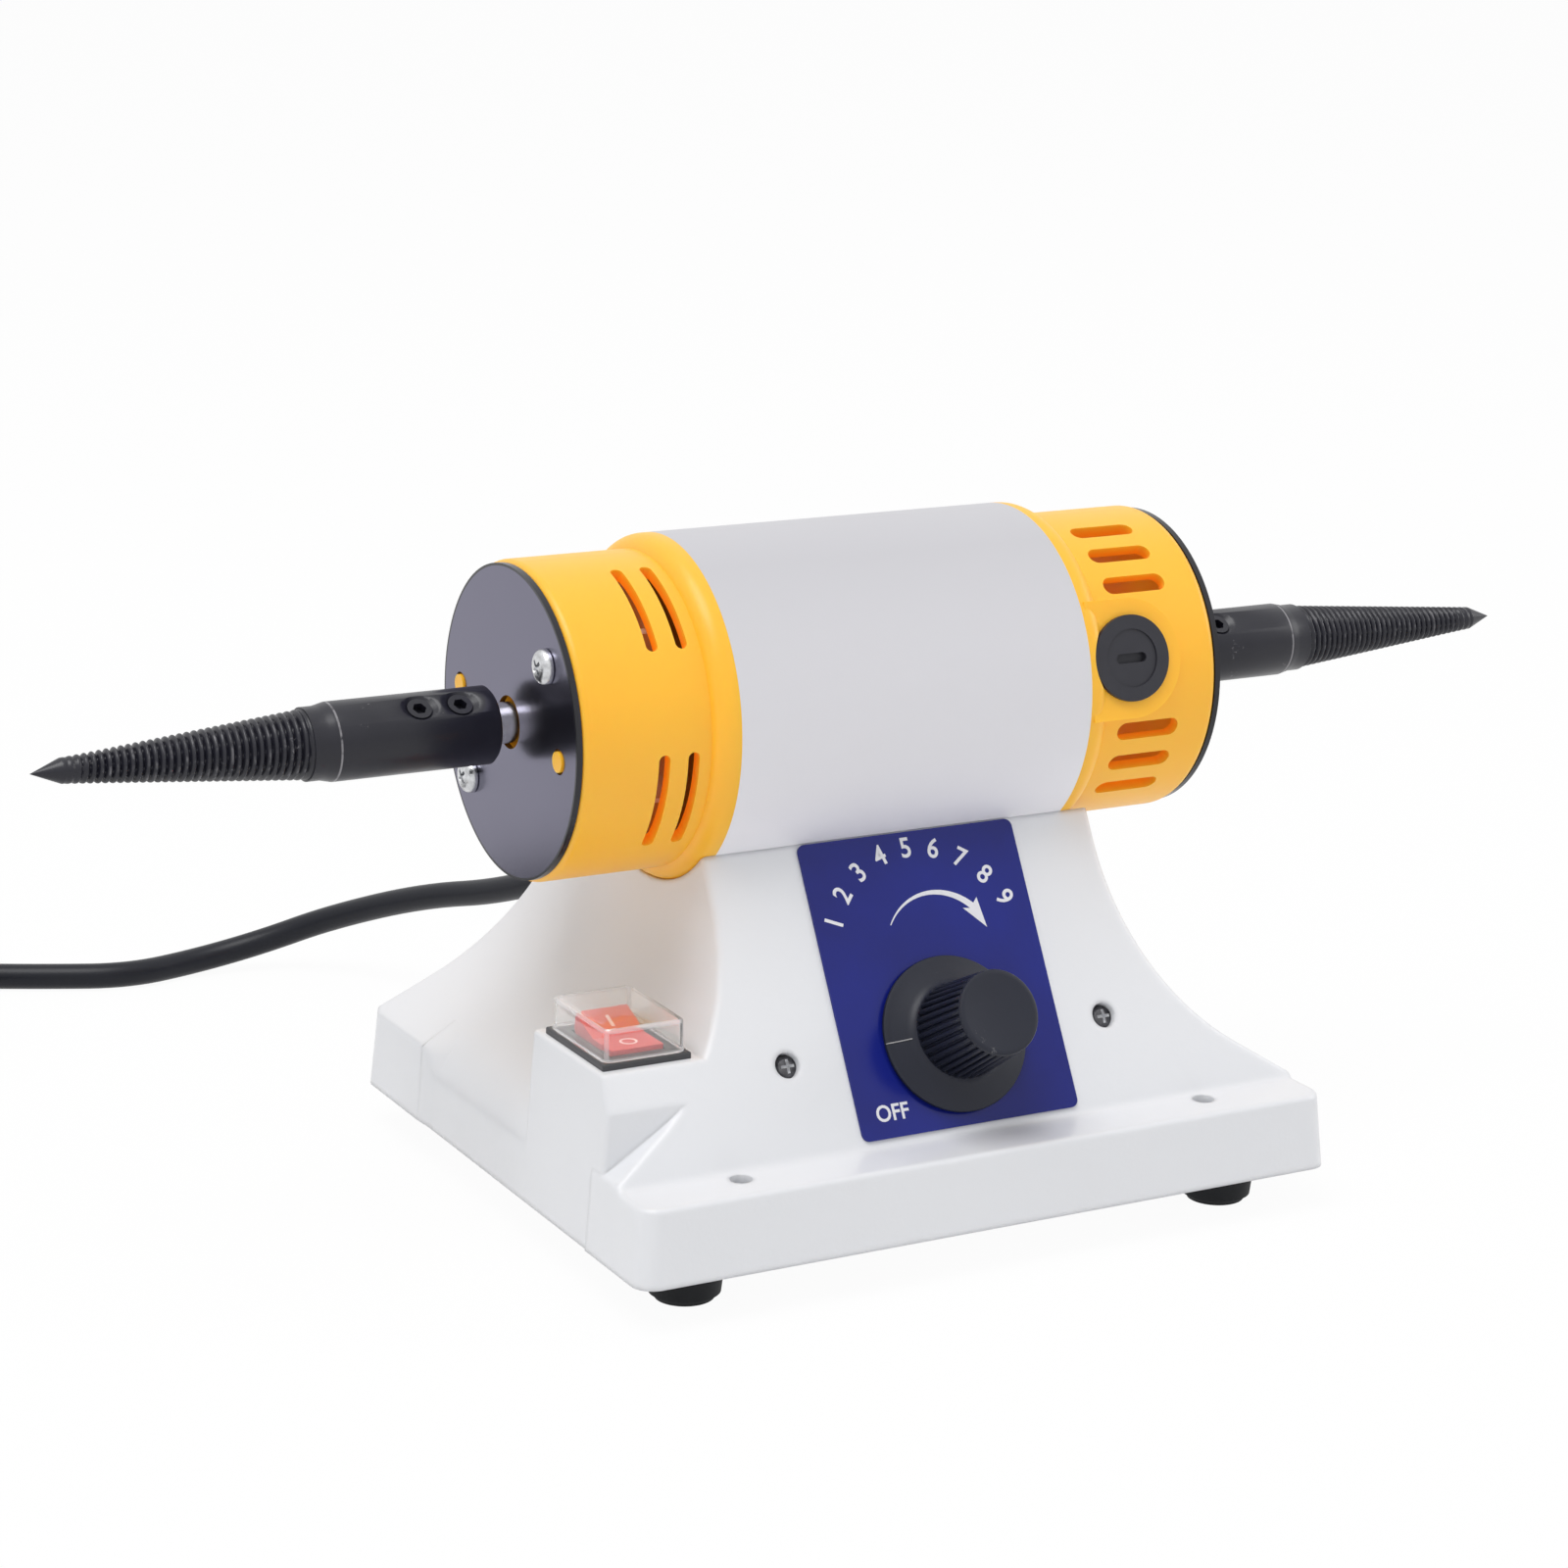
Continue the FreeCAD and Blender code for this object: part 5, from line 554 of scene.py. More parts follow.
FLOOR_GREY, FLOOR_WHITE, FLOOR_HALF = 0.9, 0.95, 12.0
floor_paint = bpy.data.materials.new("studio_floor")
floor_paint.use_nodes = True
tree = floor_paint.node_tree
tree.nodes.remove(tree.nodes["Principled BSDF"])
matt = add_node(tree, "ShaderNodeBsdfDiffuse", Color=(FLOOR_GREY, FLOOR_GREY, FLOOR_GREY, 1))
glow = tree.nodes.new("ShaderNodeEmission")
either = tree.nodes.new("ShaderNodeMixShader")
tree.links.new(mathematics(tree, "MULTIPLY", seen_directly(tree), FLOOR_WHITE),
               either.inputs["Fac"])
tree.links.new(matt.outputs["BSDF"], either.inputs[1])
tree.links.new(glow.outputs["Emission"], either.inputs[2])
tree.links.new(either.outputs["Shader"], tree.nodes["Material Output"].inputs["Surface"])

floor_mesh = bpy.data.meshes.new("studio_floor")
floor_mesh.from_pydata([(-FLOOR_HALF, -FLOOR_HALF, 0), (FLOOR_HALF, -FLOOR_HALF, 0),
                        (FLOOR_HALF, FLOOR_HALF, 0), (-FLOOR_HALF, FLOOR_HALF, 0)], [],
                       [(0, 1, 2, 3)])
floor_mesh.materials.append(floor_paint)
link(bpy.data.objects.new("studio_floor", floor_mesh))
print("floor:", 2 * FLOOR_HALF, "m across")

# %% World
WORLD_LIGHT, HORIZON, OVERHEAD, FULL_HEIGHT = 0.58, 0.85, 1.15, 0.8
world = bpy.data.worlds.new("studio_world")
world.use_nodes = True
bpy.context.scene.world = world
tree = world.node_tree
sky = tree.nodes["Background"]
sky.inputs["Color"].default_value = (1, 1, 1, 1)
path = tree.nodes.new("ShaderNodeLightPath")
height = ramp(tree, split_place(tree, "Generated")["Z"], 0.0, FULL_HEIGHT)
mirrored = mathematics(tree, "MULTIPLY_ADD", height, OVERHEAD - HORIZON, HORIZON)
strength = mathematics(tree, "MULTIPLY", path.outputs["Is Glossy Ray"], mirrored)
for mask in ("Is Camera Ray", "Is Transmission Ray"):
    strength = mathematics(tree, "MAXIMUM", strength, path.outputs[mask])
tree.links.new(mathematics(tree, "MAXIMUM", strength, WORLD_LIGHT), sky.inputs["Strength"])
print("world:", len(tree.nodes), "nodes")

# %% Lamps
OBJECT_MIDDLE = Vector((0, 0, 0.08))


def lamp(name, place, power, size):
    """A soft square lamp that looks at the middle of the object."""
    light = bpy.data.lights.new(name, "AREA")
    light.energy = power
    light.size = size
    thing = link(bpy.data.objects.new(name, light))
    aim = (OBJECT_MIDDLE - Vector(place)).to_track_quat("-Z", "Y")
    thing.matrix_world = Matrix.Translation(place) @ aim.to_matrix().to_4x4()


lamp("key_lamp", (-0.75, -0.3, 2.2), 28.0, 1.3)
lamp("side_lamp", (1.9, -0.5, 0.9), 7.0, 1.0)
bpy.context.scene.view_settings.view_transform = "Standard"

# %% [markdown]
# ## Boot, tie and plug of the lead
# A ribbed rubber boot keeps the lead from kinking where it leaves the casting, and a soft band
# holds the coil together. Both have to follow the lead, so they read the points that its
# spline really passes through: the boot is a row of rings threaded on that line.

# %% Skins over rings
def to_object(name, mesh, material):
    """Turn a built mesh outside out and make it an object with one material."""
    bmesh.ops.recalc_face_normals(mesh, faces=mesh.faces)
    data = bpy.data.meshes.new(name)
    mesh.to_mesh(data)
    mesh.free()
    data.materials.append(material)
    return link(bpy.data.objects.new(name, data))


def skin_between(mesh, one, two):
    """Faces between two rings of points."""
    for i in range(len(one)):
        j = (i + 1) % len(one)
        mesh.faces.new((one[i], one[j], two[j], two[i]))


def rings_mesh(name, rings, material):
    """A closed skin over rings that all have the same count of points."""
    mesh = bmesh.new()
    rows = [[mesh.verts.new(point) for point in ring] for ring in rings]
    for one, two in zip(rows, rows[1:]):
        skin_between(mesh, one, two)
    for row in (rows[0], rows[-1]):
        mesh.faces.new(row)
    return to_object(name, mesh, material)


def soft_shade(thing, degrees=35):
    """Smooth shading with crisp edges where faces meet at more than the angle."""
    for face in thing.data.polygons:
        face.use_smooth = True
    mesh = bmesh.new()
    mesh.from_mesh(thing.data)
    for edge in mesh.edges:
        edge.smooth = (len(edge.link_faces) == 2
                       and edge.calc_face_angle(0.0) < math.radians(degrees))
    mesh.to_mesh(thing.data)
    mesh.free()
    return thing


# %% Sleeves along a line
def along(line, distance):
    """A point on a line at a distance from its start, and the way it heads there."""
    left = distance
    for a, b in zip(line, line[1:]):
        step = (b - a).length
        if left <= step:
            return a + (b - a) * (left / step), (b - a).normalized()
        left -= step
    return line[-1], (line[-1] - line[-2]).normalized()


SLEEVE_SIDES = 32


def sleeve_along(name, line, stations, material):
    """A round sleeve on a line. stations are pairs of distance and radius, in mm."""
    turns = [2 * math.pi * k / SLEEVE_SIDES for k in range(SLEEVE_SIDES)]
    hoops = []
    for distance, radius in stations:
        centre, way = along(line, max(distance, 0.0) * MM)
        centre = centre + way * min(distance, 0.0) * MM
        side = way.cross(Vector((0, 0, 1))).normalized()
        up = side.cross(way)
        hoops.append([centre + (side * math.cos(turn) + up * math.sin(turn)) * radius * MM
                      for turn in turns])
    return soft_shade(rings_mesh(name, hoops, material))


# %% Boot
BOOT_LENGTH, BOOT_ROOT, BOOT_TIP, BOOT_BORE, TIP_ROUND = 29.0, 6.6, 4.7, 3.5, 0.3
COLLAR = 2.5
stations = [(-4.0, 6.4), (0.0, 6.4), (0.0, 8.2), (0.4, 8.5), (2.1, 8.5), (COLLAR, 8.2),
            (COLLAR, BOOT_ROOT)]
GROOVES, FIRST_GROOVE, SPARE_ENDS = 5, 0.35, 0.4
GROOVE = ((0.0, 0.0), (0.08, 0.25), (0.16, 1.3), (0.40, 1.3), (0.48, 0.25), (0.56, 0.0))
for groove in range(GROOVES):
    for share, sink in GROOVE:
        travel = (groove + FIRST_GROOVE + share) / (GROOVES + SPARE_ENDS)
        stations.append((COLLAR + travel * (BOOT_LENGTH - COLLAR),
                         BOOT_ROOT + (BOOT_TIP - BOOT_ROOT) * travel - sink))
stations += [(BOOT_LENGTH, BOOT_TIP), (BOOT_LENGTH + TIP_ROUND, BOOT_TIP - TIP_ROUND),
             (BOOT_LENGTH + TIP_ROUND, BOOT_BORE)]
boot = sleeve_along("lead_boot", lead_line, stations, finishes["cord_black"])
print("boot", BOOT_LENGTH, "mm with", GROOVES, "grooves")

# %% Tie round the coil
TIE_TURN, TIE_WIDTH, TIE_THICKNESS, TIE_BOTTOM = math.radians(135), 7.0, 0.9, 0.3
TIE_CORNERS = ((OUTER, LOWER, -90), (OUTER, UPPER, 0), (INNER, UPPER, 90),
               (INNER, LOWER, 180))


def band_section(swell):
    """Pairs of radius and height round the coil's section, flat where it meets the floor."""
    around = CORD_RADIUS / MM + swell
    bottom = 0.0 if swell > 0 else TIE_BOTTOM
    return [(radius + around * math.cos(math.radians(first + turn)),
             max(height + around * math.sin(math.radians(first + turn)), bottom))
            for radius, height, first in TIE_CORNERS for turn in range(0, 91, 15)]


outward = Vector((math.cos(TIE_TURN), math.sin(TIE_TURN), 0))
sideways = Vector((-outward.y, outward.x, 0))
coil_middle = Vector((COIL_X, COIL_Y, 0))
mesh = bmesh.new()
skins = []
for side in (-1, 1):
    for swell in (0.0, TIE_THICKNESS):
        skins.append([mesh.verts.new(coil_middle + outward * r * MM
                                     + Vector((0, 0, z * MM))
                                     + sideways * side * TIE_WIDTH / 2 * MM)
                      for r, z in band_section(swell)])
loops = (skins[0], skins[1], skins[3], skins[2])
for one, two in zip(loops, loops[1:] + loops[:1]):
    skin_between(mesh, one, two)
tie = soft_shade(to_object("coil_tie", mesh, finishes["cord_black"]))
print("tie", len(tie.data.polygons), "faces")

# %% Lead in the frame
lead.data.materials.append(finishes["cord_black"])
for piece in (lead, boot, tie):
    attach(piece, "lathe_base")
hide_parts("power_cord", "cord_coil", "cord_tail")
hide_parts("strain_relief")
print("lead pieces:", [p.name for p in (lead, boot, tie)])

# %% [markdown]
# ## Tools for trees that make geometry
# Screws, ribs and threads repeat or follow a rule. Geometry Nodes suit them: a tree holds the
# rule, and named inputs hold the sizes. After it has run, the result becomes a plain mesh, so
# that nothing depends on the modifier any more.

# %% Geometry tree helpers
def new_tree(name, inputs):
    """A geometry tree with named inputs and one output."""
    return new_group(name, inputs, [("Geometry", "NodeSocketGeometry")], "GeometryNodeTree")


def grow(name, tree, values):
    """Run a tree with these values and keep what it makes as a plain mesh."""
    carrier = link(bpy.data.objects.new(name, bpy.data.meshes.new(name + "_seed")))
    modifier = carrier.modifiers.new("shape", "NODES")
    modifier.node_group = tree
    for item in tree.interface.items_tree:
        if item.in_out == "INPUT" and item.name in values:
            modifier[item.identifier] = values[item.name]
    result = frozen(carrier)
    carrier.modifiers.clear()
    seed = carrier.data
    carrier.data = result
    bpy.data.meshes.remove(seed)
    result.name = name
    return carrier


OBJECT, MATERIAL, COUNT = "NodeSocketObject", "NodeSocketMaterial", "NodeSocketInt"

# %% [markdown]
# ## Tapered threads
# Buffs screw themselves onto the spindle's long tapered thread. Its crests are rounded and its
# valleys sharp, and it fades out at both ends. A sheet of points rolled into a cone gives full
# control: each point's radius is the taper, less the depth of the thread at that point. The
# height of the thread is the size of a sine wave that climbs one pitch in each turn, which is
# round on top and sharp below. On the other side of the motor X runs the other way, so the
# same rule gives the opposite hand.

# %% Tree: tapered thread
LEAD_IN, FADE_IN, FADE_OUT, SEAM = 0.0004, 0.0016, 0.0075, 0.000004
threads, given, handed = new_tree("tapered_thread", [
    ("Start", FLOAT, 0.14), ("Length", FLOAT, 0.06), ("Start radius", FLOAT, 0.008),
    ("End radius", FLOAT, 0.003), ("Point length", FLOAT, 0.007), ("Pitch", FLOAT, 0.002),
    ("Depth", FLOAT, 0.001), ("Side", FLOAT, 1.0), ("Axis height", FLOAT, 0.12),
    ("Around", COUNT, 64), ("Along", COUNT, 400), ("Material", MATERIAL, None)])
inputs = given.outputs


def calc(operation, *values):
    """One step of arithmetic in the thread's tree."""
    return mathematics(threads, operation, *values)


sheet = add_node(threads, "GeometryNodeMeshGrid", Size_X=1.0, Size_Y=1.0,
                 Vertices_X=inputs["Around"], Vertices_Y=inputs["Along"])
where = threads.nodes.new("GeometryNodeInputPosition")
split = add_node(threads, "ShaderNodeSeparateXYZ", Vector=where.outputs["Position"])
turn = calc("MULTIPLY", calc("ADD", split.outputs["X"], 0.5), 2 * math.pi)
whole = calc("ADD", inputs["Length"], inputs["Point length"])
travel = calc("SUBTRACT", calc("MULTIPLY", calc("ADD", split.outputs["Y"], 0.5),
                               calc("ADD", whole, LEAD_IN)), LEAD_IN)
fall = calc("SUBTRACT", inputs["Start radius"], inputs["End radius"])
taper = calc("SUBTRACT", inputs["Start radius"],
             calc("MULTIPLY", fall, calc("DIVIDE", travel, inputs["Length"])))
point = calc("MULTIPLY", inputs["End radius"],
             calc("DIVIDE", calc("SUBTRACT", whole, travel), inputs["Point length"]))
body = calc("MINIMUM", taper, point)
wave = calc("SUBTRACT", calc("DIVIDE", travel, inputs["Pitch"]),
            calc("DIVIDE", turn, 2 * math.pi))
crest = calc("ABSOLUTE", calc("SINE", calc("MULTIPLY", wave, math.pi)))
begin = calc("DIVIDE", travel, FADE_IN)
threads.nodes[-1].use_clamp = True
end = calc("DIVIDE", calc("SUBTRACT", inputs["Length"], travel), FADE_OUT)
threads.nodes[-1].use_clamp = True
depth = calc("MULTIPLY", inputs["Depth"], calc("MULTIPLY", begin, end))
radius = calc("SUBTRACT", body, calc("MULTIPLY", depth, calc("SUBTRACT", 1.0, crest)))
rolled_place = add_node(
    threads, "ShaderNodeCombineXYZ",
    X=calc("MULTIPLY", inputs["Side"], calc("ADD", inputs["Start"], travel)),
    Y=calc("MULTIPLY", radius, calc("COSINE", turn)),
    Z=calc("MULTIPLY_ADD", radius, calc("SINE", turn), inputs["Axis height"]))
noted = add_node(threads, "GeometryNodeStoreNamedAttribute", Name="crest",
                 Value=calc("MULTIPLY", crest, calc("MULTIPLY", begin, end)),
                 Geometry=sheet.outputs["Mesh"])
rolled = add_node(threads, "GeometryNodeSetPosition", Geometry=noted.outputs["Geometry"],
                  Position=rolled_place.outputs[0])
sewn = add_node(threads, "GeometryNodeMergeByDistance", Geometry=rolled.outputs["Geometry"],
                Distance=SEAM)
real = add_node(threads, "GeometryNodeRealizeInstances", Geometry=sewn.outputs["Geometry"])
painted = add_node(threads, "GeometryNodeSetMaterial", Geometry=real.outputs["Geometry"],
                   Material=inputs["Material"])
threads.links.new(painted.outputs["Geometry"], handed.inputs["Geometry"])
print("thread tree with", len(threads.nodes), "nodes")

# %% Spindles
SPINDLE_ROOT, BODY_LENGTH, OVERLAP, WELD = 0.09355, 0.0473, 0.00002, 0.000002
THREAD_START = SPINDLE_ROOT + BODY_LENGTH
THREAD = {"Start": THREAD_START, "Length": 0.0584, "Start radius": 0.0084,
          "End radius": 0.0030, "Point length": 0.0072, "Pitch": 0.00177, "Depth": 0.00095,
          "Axis height": AXIS_HEIGHT, "Around": 73, "Along": 410,
          "Material": finishes["black_oxide"]}


def merged_copy(node):
    """A welded copy of a solid's mesh, ready to be worked on."""
    mesh = bmesh.new()
    mesh.from_mesh(frame["nodes"][node].data)
    bmesh.ops.remove_doubles(mesh, verts=mesh.verts, dist=WELD)
    return mesh


def close_holes(mesh):
    """Cap every open rim of a mesh."""
    rim = [edge for edge in mesh.edges if edge.is_boundary]
    if rim:
        bmesh.ops.edgeloop_fill(mesh, edges=rim)


for side, label in ((-1, "left"), (1, "right")):
    spindle = grow(label + "_threaded_spindle", threads, {**THREAD, "Side": float(side)})
    body = merged_copy(label + "_spindle")
    bmesh.ops.bisect_plane(body, geom=body.verts[:] + body.edges[:] + body.faces[:],
                           plane_co=(side * (THREAD_START - OVERLAP), 0, 0),
                           plane_no=(side, 0, 0), clear_outer=True)
    close_holes(body)
    plain = bpy.data.meshes.new(label + "_plain")
    body.to_mesh(plain)
    body.free()
    mesh = bmesh.new()
    mesh.from_mesh(spindle.data)
    close_holes(mesh)
    bmesh.ops.recalc_face_normals(mesh, faces=mesh.faces)
    mesh.from_mesh(plain)
    mesh.to_mesh(spindle.data)
    mesh.free()
    bpy.data.meshes.remove(plain)
    spindle.data.materials.clear()
    spindle.data.materials.append(finishes["black_oxide"])
    soft_shade(spindle, 50)
    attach(spindle, "rotor")
    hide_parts(label + "_spindle")
    print(spindle.name, len(spindle.data.polygons), "faces")

# %% [markdown]
# ## Screws in rings
# The end covers are held by two pan head screws each, and two smaller ones sit in the front.
# Each screw is a turned dome with a cross recess cut into it. One head is modelled, and a
# tree sets copies of it round a circle, turned so that the same side looks outwards. The tree
# paints the first skin of the piece only, so the painted highlight in the recess of a front
# screw stays bright against the painted dark reflection of its head.
# The same tree later sets the ribs of the knob.

# %% Tree: ring of copies
rings, given, handed = new_tree("ring_of_copies", [
    ("Piece", OBJECT, None), ("Count", COUNT, 2), ("Radius", FLOAT, 0.01),
    ("First turn", FLOAT, 0.0), ("Material", MATERIAL, None)])
number = rings.nodes.new("GeometryNodeInputIndex")
step = mathematics(rings, "DIVIDE", 2 * math.pi, given.outputs["Count"])
turn = mathematics(rings, "MULTIPLY_ADD", number.outputs["Index"], step,
                   given.outputs["First turn"])
over, up = [mathematics(rings, "MULTIPLY", given.outputs["Radius"],
                        mathematics(rings, operation, turn)) for operation in ("COSINE", "SINE")]
spot = add_node(rings, "ShaderNodeCombineXYZ", X=over, Y=up)
points = add_node(rings, "GeometryNodePoints", Count=given.outputs["Count"],
                  Position=spot.outputs[0])
spin = add_node(rings, "ShaderNodeCombineXYZ", Z=turn)
piece = add_node(rings, "GeometryNodeObjectInfo", Object=given.outputs["Piece"])
copies = add_node(rings, "GeometryNodeInstanceOnPoints", Points=points.outputs["Points"],
                  Instance=piece.outputs["Geometry"], Rotation=spin.outputs[0])
real = add_node(rings, "GeometryNodeRealizeInstances", Geometry=copies.outputs["Instances"])
skin_number = rings.nodes.new("GeometryNodeInputMaterialIndex")
first_skin = mathematics(rings, "LESS_THAN", skin_number.outputs["Material Index"], 0.5)
painted = add_node(rings, "GeometryNodeSetMaterial", Selection=first_skin,
                   Geometry=real.outputs["Geometry"], Material=given.outputs["Material"])
rings.links.new(painted.outputs["Geometry"], handed.inputs["Geometry"])
print("ring tree with", len(rings.nodes), "nodes")

# %% Turned shapes
def turned_shape(name, profile, around, material):
    """A solid of revolution about Z from pairs of radius and height in mm."""
    mesh = bmesh.new()
    rows = []
    for radius, height in profile:
        if radius < 1e-6:
            rows.append([mesh.verts.new((0, 0, height * MM))])
        else:
            rows.append([mesh.verts.new((radius * MM * math.cos(2 * math.pi * k / around),
                                         radius * MM * math.sin(2 * math.pi * k / around),
                                         height * MM)) for k in range(around)])
    for one, two in zip(rows, rows[1:]):
        for k in range(around):
            j = (k + 1) % around
            corners = [one[k % len(one)], one[j % len(one)], two[j % len(two)],
                       two[k % len(two)]]
            mesh.faces.new(list(dict.fromkeys(corners)))
    return soft_shade(to_object(name, mesh, material))


# %% Joining and cutting
def join_into(target, *others):
    """Put other meshes into the target's mesh, keeping each one's material."""
    mesh = bmesh.new()
    mesh.from_mesh(target.data)
    for other in others:
        extra = other.data.copy()
        shift = []
        for material in other.data.materials:
            if material.name not in target.data.materials:
                target.data.materials.append(material)
            shift.append(list(target.data.materials).index(material))
        for face in extra.polygons:
            face.material_index = shift[face.material_index]
        mesh.from_mesh(extra)
        bpy.data.meshes.remove(extra)
        bpy.data.objects.remove(other)
    mesh.to_mesh(target.data)
    mesh.free()
    return soft_shade(target)


def cut_with(thing, cutter):
    """Cut one closed mesh out of another, and throw the cutter away."""
    knife = thing.modifiers.new("cut", "BOOLEAN")
    knife.operation = "DIFFERENCE"
    knife.solver = "EXACT"
    knife.object = cutter
    knife.use_self = True
    knife.material_mode = "TRANSFER"
    result = frozen(thing)
    thing.modifiers.clear()
    thing.data = result
    bpy.data.objects.remove(cutter)
    return soft_shade(thing)


# %% Pan head screws
def screw_head(name, radius, height, recess, skin, cross_skin):
    """A pan head with a cross recess, its seat at Z = 0. Its profile is in shares of both."""
    dome = [(0.0, -1.0), (radius * 0.5, -1.0), (radius * 0.5, 0.0), (radius * 0.94, 0.0),
            (radius, height * 0.08), (radius, height * 0.26)]
    for k in range(1, 8):
        turn = math.radians(90 * k / 8)
        dome.append((radius * (0.52 + 0.48 * math.cos(turn)),
                     height * (0.26 + 0.70 * math.sin(turn))))
    dome += [(radius * 0.30, height), (0.0, height)]
    head = turned_shape(name, dome, 40, skin)
    blade = bmesh.new()
    for turn in (0, math.pi / 2):
        lower = (recess * 0.30, recess * 0.11, height * 0.25)
        upper = (recess, recess * 0.19, height * 1.2)
        box = [Matrix.Rotation(turn, 4, "Z") @ Vector((sx * x * MM, sy * y * MM, z * MM))
               for x, y, z in (lower, upper) for sx, sy in ((-1, -1), (1, -1), (1, 1), (-1, 1))]
        knots = [blade.verts.new(p) for p in box]
        for face in ((3, 2, 1, 0), (4, 5, 6, 7), (0, 1, 5, 4), (1, 2, 6, 5), (2, 3, 7, 6),
                     (3, 0, 4, 7)):
            blade.faces.new([knots[k] for k in face])
    return cut_with(head, to_object(name + "_cross", blade, cross_skin))


def ring_of(name, piece, count, radius, first, place, material):
    """Copies of a piece round a circle, moved to their place as one mesh."""
    made = grow(name, rings, {"Piece": piece, "Count": count, "Radius": radius * MM,
                              "First turn": math.radians(first), "Material": material})
    made.data.transform(place)
    return soft_shade(made)


# %% Screws of the end covers
COVER_SCREWS = {"radius": 4.3, "height": 2.8, "recess": 2.5}
COVER_CIRCLE, COVER_TURN = 28.5, 40.0
zinc = finishes["zinc_steel"]
big_head = screw_head("big_head", **COVER_SCREWS, skin=zinc, cross_skin=zinc)
for side, label in ((-1, "left"), (1, "right")):
    low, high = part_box(label + "_cover_disc")
    outer_face = low.x if side < 0 else high.x
    outwards = Matrix(((0, 0, side, 0), (-1, 0, 0, 0), (0, -side, 0, 0), (0, 0, 0, 1)))
    place = Matrix.Translation((outer_face, 0, AXIS_HEIGHT)) @ outwards
    screws = ring_of(label + "_cover_screws", big_head, 2, COVER_CIRCLE, -side * COVER_TURN,
                     place, zinc)
    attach(screws, "lathe_base")
    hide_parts(label + "_disc_screws")
    print(screws.name, len(screws.data.polygons), "faces")

# %% The sloping front
SLOPE = math.radians(29.53)
FACE_FOOT = Vector((0.0039, -0.0672, 0.030))


def on_face(across, up, out=0.0):
    """A frame on the sloping front: X across it, Y up it and Z straight out of it."""
    sine, cosine = math.sin(SLOPE), math.cos(SLOPE)
    turned_face = Matrix(((1, 0, 0, 0), (0, sine, -cosine, 0), (0, cosine, sine, 0),
                          (0, 0, 0, 1)))
    return (Matrix.Translation(FACE_FOOT) @ turned_face
            @ Matrix.Translation((across * MM, up * MM, out * MM)))


# %% Screws of the front
FRONT_SCREWS = {"radius": 3.05, "height": 2.0, "recess": 2.1}
FRONT_APART, FRONT_ACROSS, FRONT_UP, FRONT_DEPTH = 44.7, 0.9, 23.2, 3.6
# The heads are a dark metal that stands in for the dark surroundings they would mirror, a
# painted reflection. Their cross recess is painted bright, a painted highlight.
painted_dark_head = finish("painted_dark_zinc", (0.075, 0.075, 0.080), 0.16, other=(0.14, 0.14, 0.15),
                   drift_size=0.0012, drift_amount=0.8, grain=0.0003, relief_depth=0.00003,
                   metal=1.0)
painted_highlight_recess = finish("painted_highlight_recess", (0.85, 0.86, 0.88), 0.3, other=(0.6, 0.6, 0.62),
                       drift_size=0.0008, drift_amount=0.8, grain=0.0003, metal=0.35)
small_head = screw_head("small_head", **FRONT_SCREWS, skin=painted_dark_head,
                        cross_skin=painted_highlight_recess)
front = ring_of("front_pan_screws", small_head, 2, FRONT_APART, 0.0,
                on_face(FRONT_ACROSS, FRONT_UP, -FRONT_DEPTH), painted_dark_head)
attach(front, "lathe_base")
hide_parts("front_screws")
print("screw heads", len(big_head.data.polygons), len(small_head.data.polygons), "faces")
for spare in (big_head, small_head):
    bpy.data.objects.remove(spare)

# %% [markdown]
# ## Runouts of the casting
# Where the hollow sides of the casting end, the wall grows thicker towards the corners. On a
# real casting that step runs out softly, since sand doesn't hold a sharp one. A patch per step
# does this: at each height it starts on the thin wall and swells to the thick one. Both are
# measured on the solid with rays from outside, so the patch lies on it everywhere. Its first
# edge lies a hair inside the wall, and its last one is tucked in behind the step, so that
# neither shows.

# %% Soft runouts
SCOOP_BACK, SCOOP_FRONT, RUNOUT, SUNK = 0.0470, 0.0528, 0.0100, 0.0012
PATCH_TOP, BOTTOM_GAP, LEVELS, COLUMNS = 0.0372, 0.0001, 28, 12
PROBE, OUTSIDE, HAIR, TUCKED, BEHIND = 0.001, 0.2, 0.00006, 0.0002, 0.0006
LEFT, RIGHT, BACK, FRONT = -1, 1, 1, -1
casting = frame["nodes"]["base_housing"].data
skin = BVHTree.FromPolygons([v.co for v in casting.vertices],
                            [face.vertices for face in casting.polygons])


def wall_at(side, y, z):
    """Where the outside of the casting lies at a point of its side."""
    return skin.ray_cast(Vector((side * OUTSIDE, y, z)), Vector((-side, 0, 0)))[0].x


def runout(side, end, step):
    """A patch from the thin wall to the thick one at a step of the casting's side."""
    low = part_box("base_housing")[0].z + BOTTOM_GAP
    rows = []
    for level in range(LEVELS + 1):
        z = low + (PATCH_TOP - low) * level / LEVELS
        thin = wall_at(side, end * (step - PROBE), z)
        thick = wall_at(side, end * (step + PROBE), z)
        row = []
        for column in range(COLUMNS + 1):
            share = column / COLUMNS
            swell = share * share * (3 - 2 * share)
            row.append((thin + (thick - thin) * swell - side * HAIR * (1 - share),
                        end * (step - RUNOUT * (1 - share)), z))
        row += [(thick - side * TUCKED, end * (step + BEHIND), z),
                (thin - side * SUNK, end * (step + BEHIND), z),
                (thin - side * SUNK, end * (step - RUNOUT), z)]
        rows.append([Vector(point) for point in row])
    return rings_mesh("runout", rows, finishes["white_enamel"])


patches = [runout(LEFT, BACK, SCOOP_BACK), runout(RIGHT, BACK, SCOOP_BACK),
           runout(RIGHT, FRONT, SCOOP_FRONT)]
runouts = join_into(*patches)
runouts.name = "casting_runouts"
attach(runouts, "lathe_base")
print("runouts", len(runouts.data.polygons), "faces")

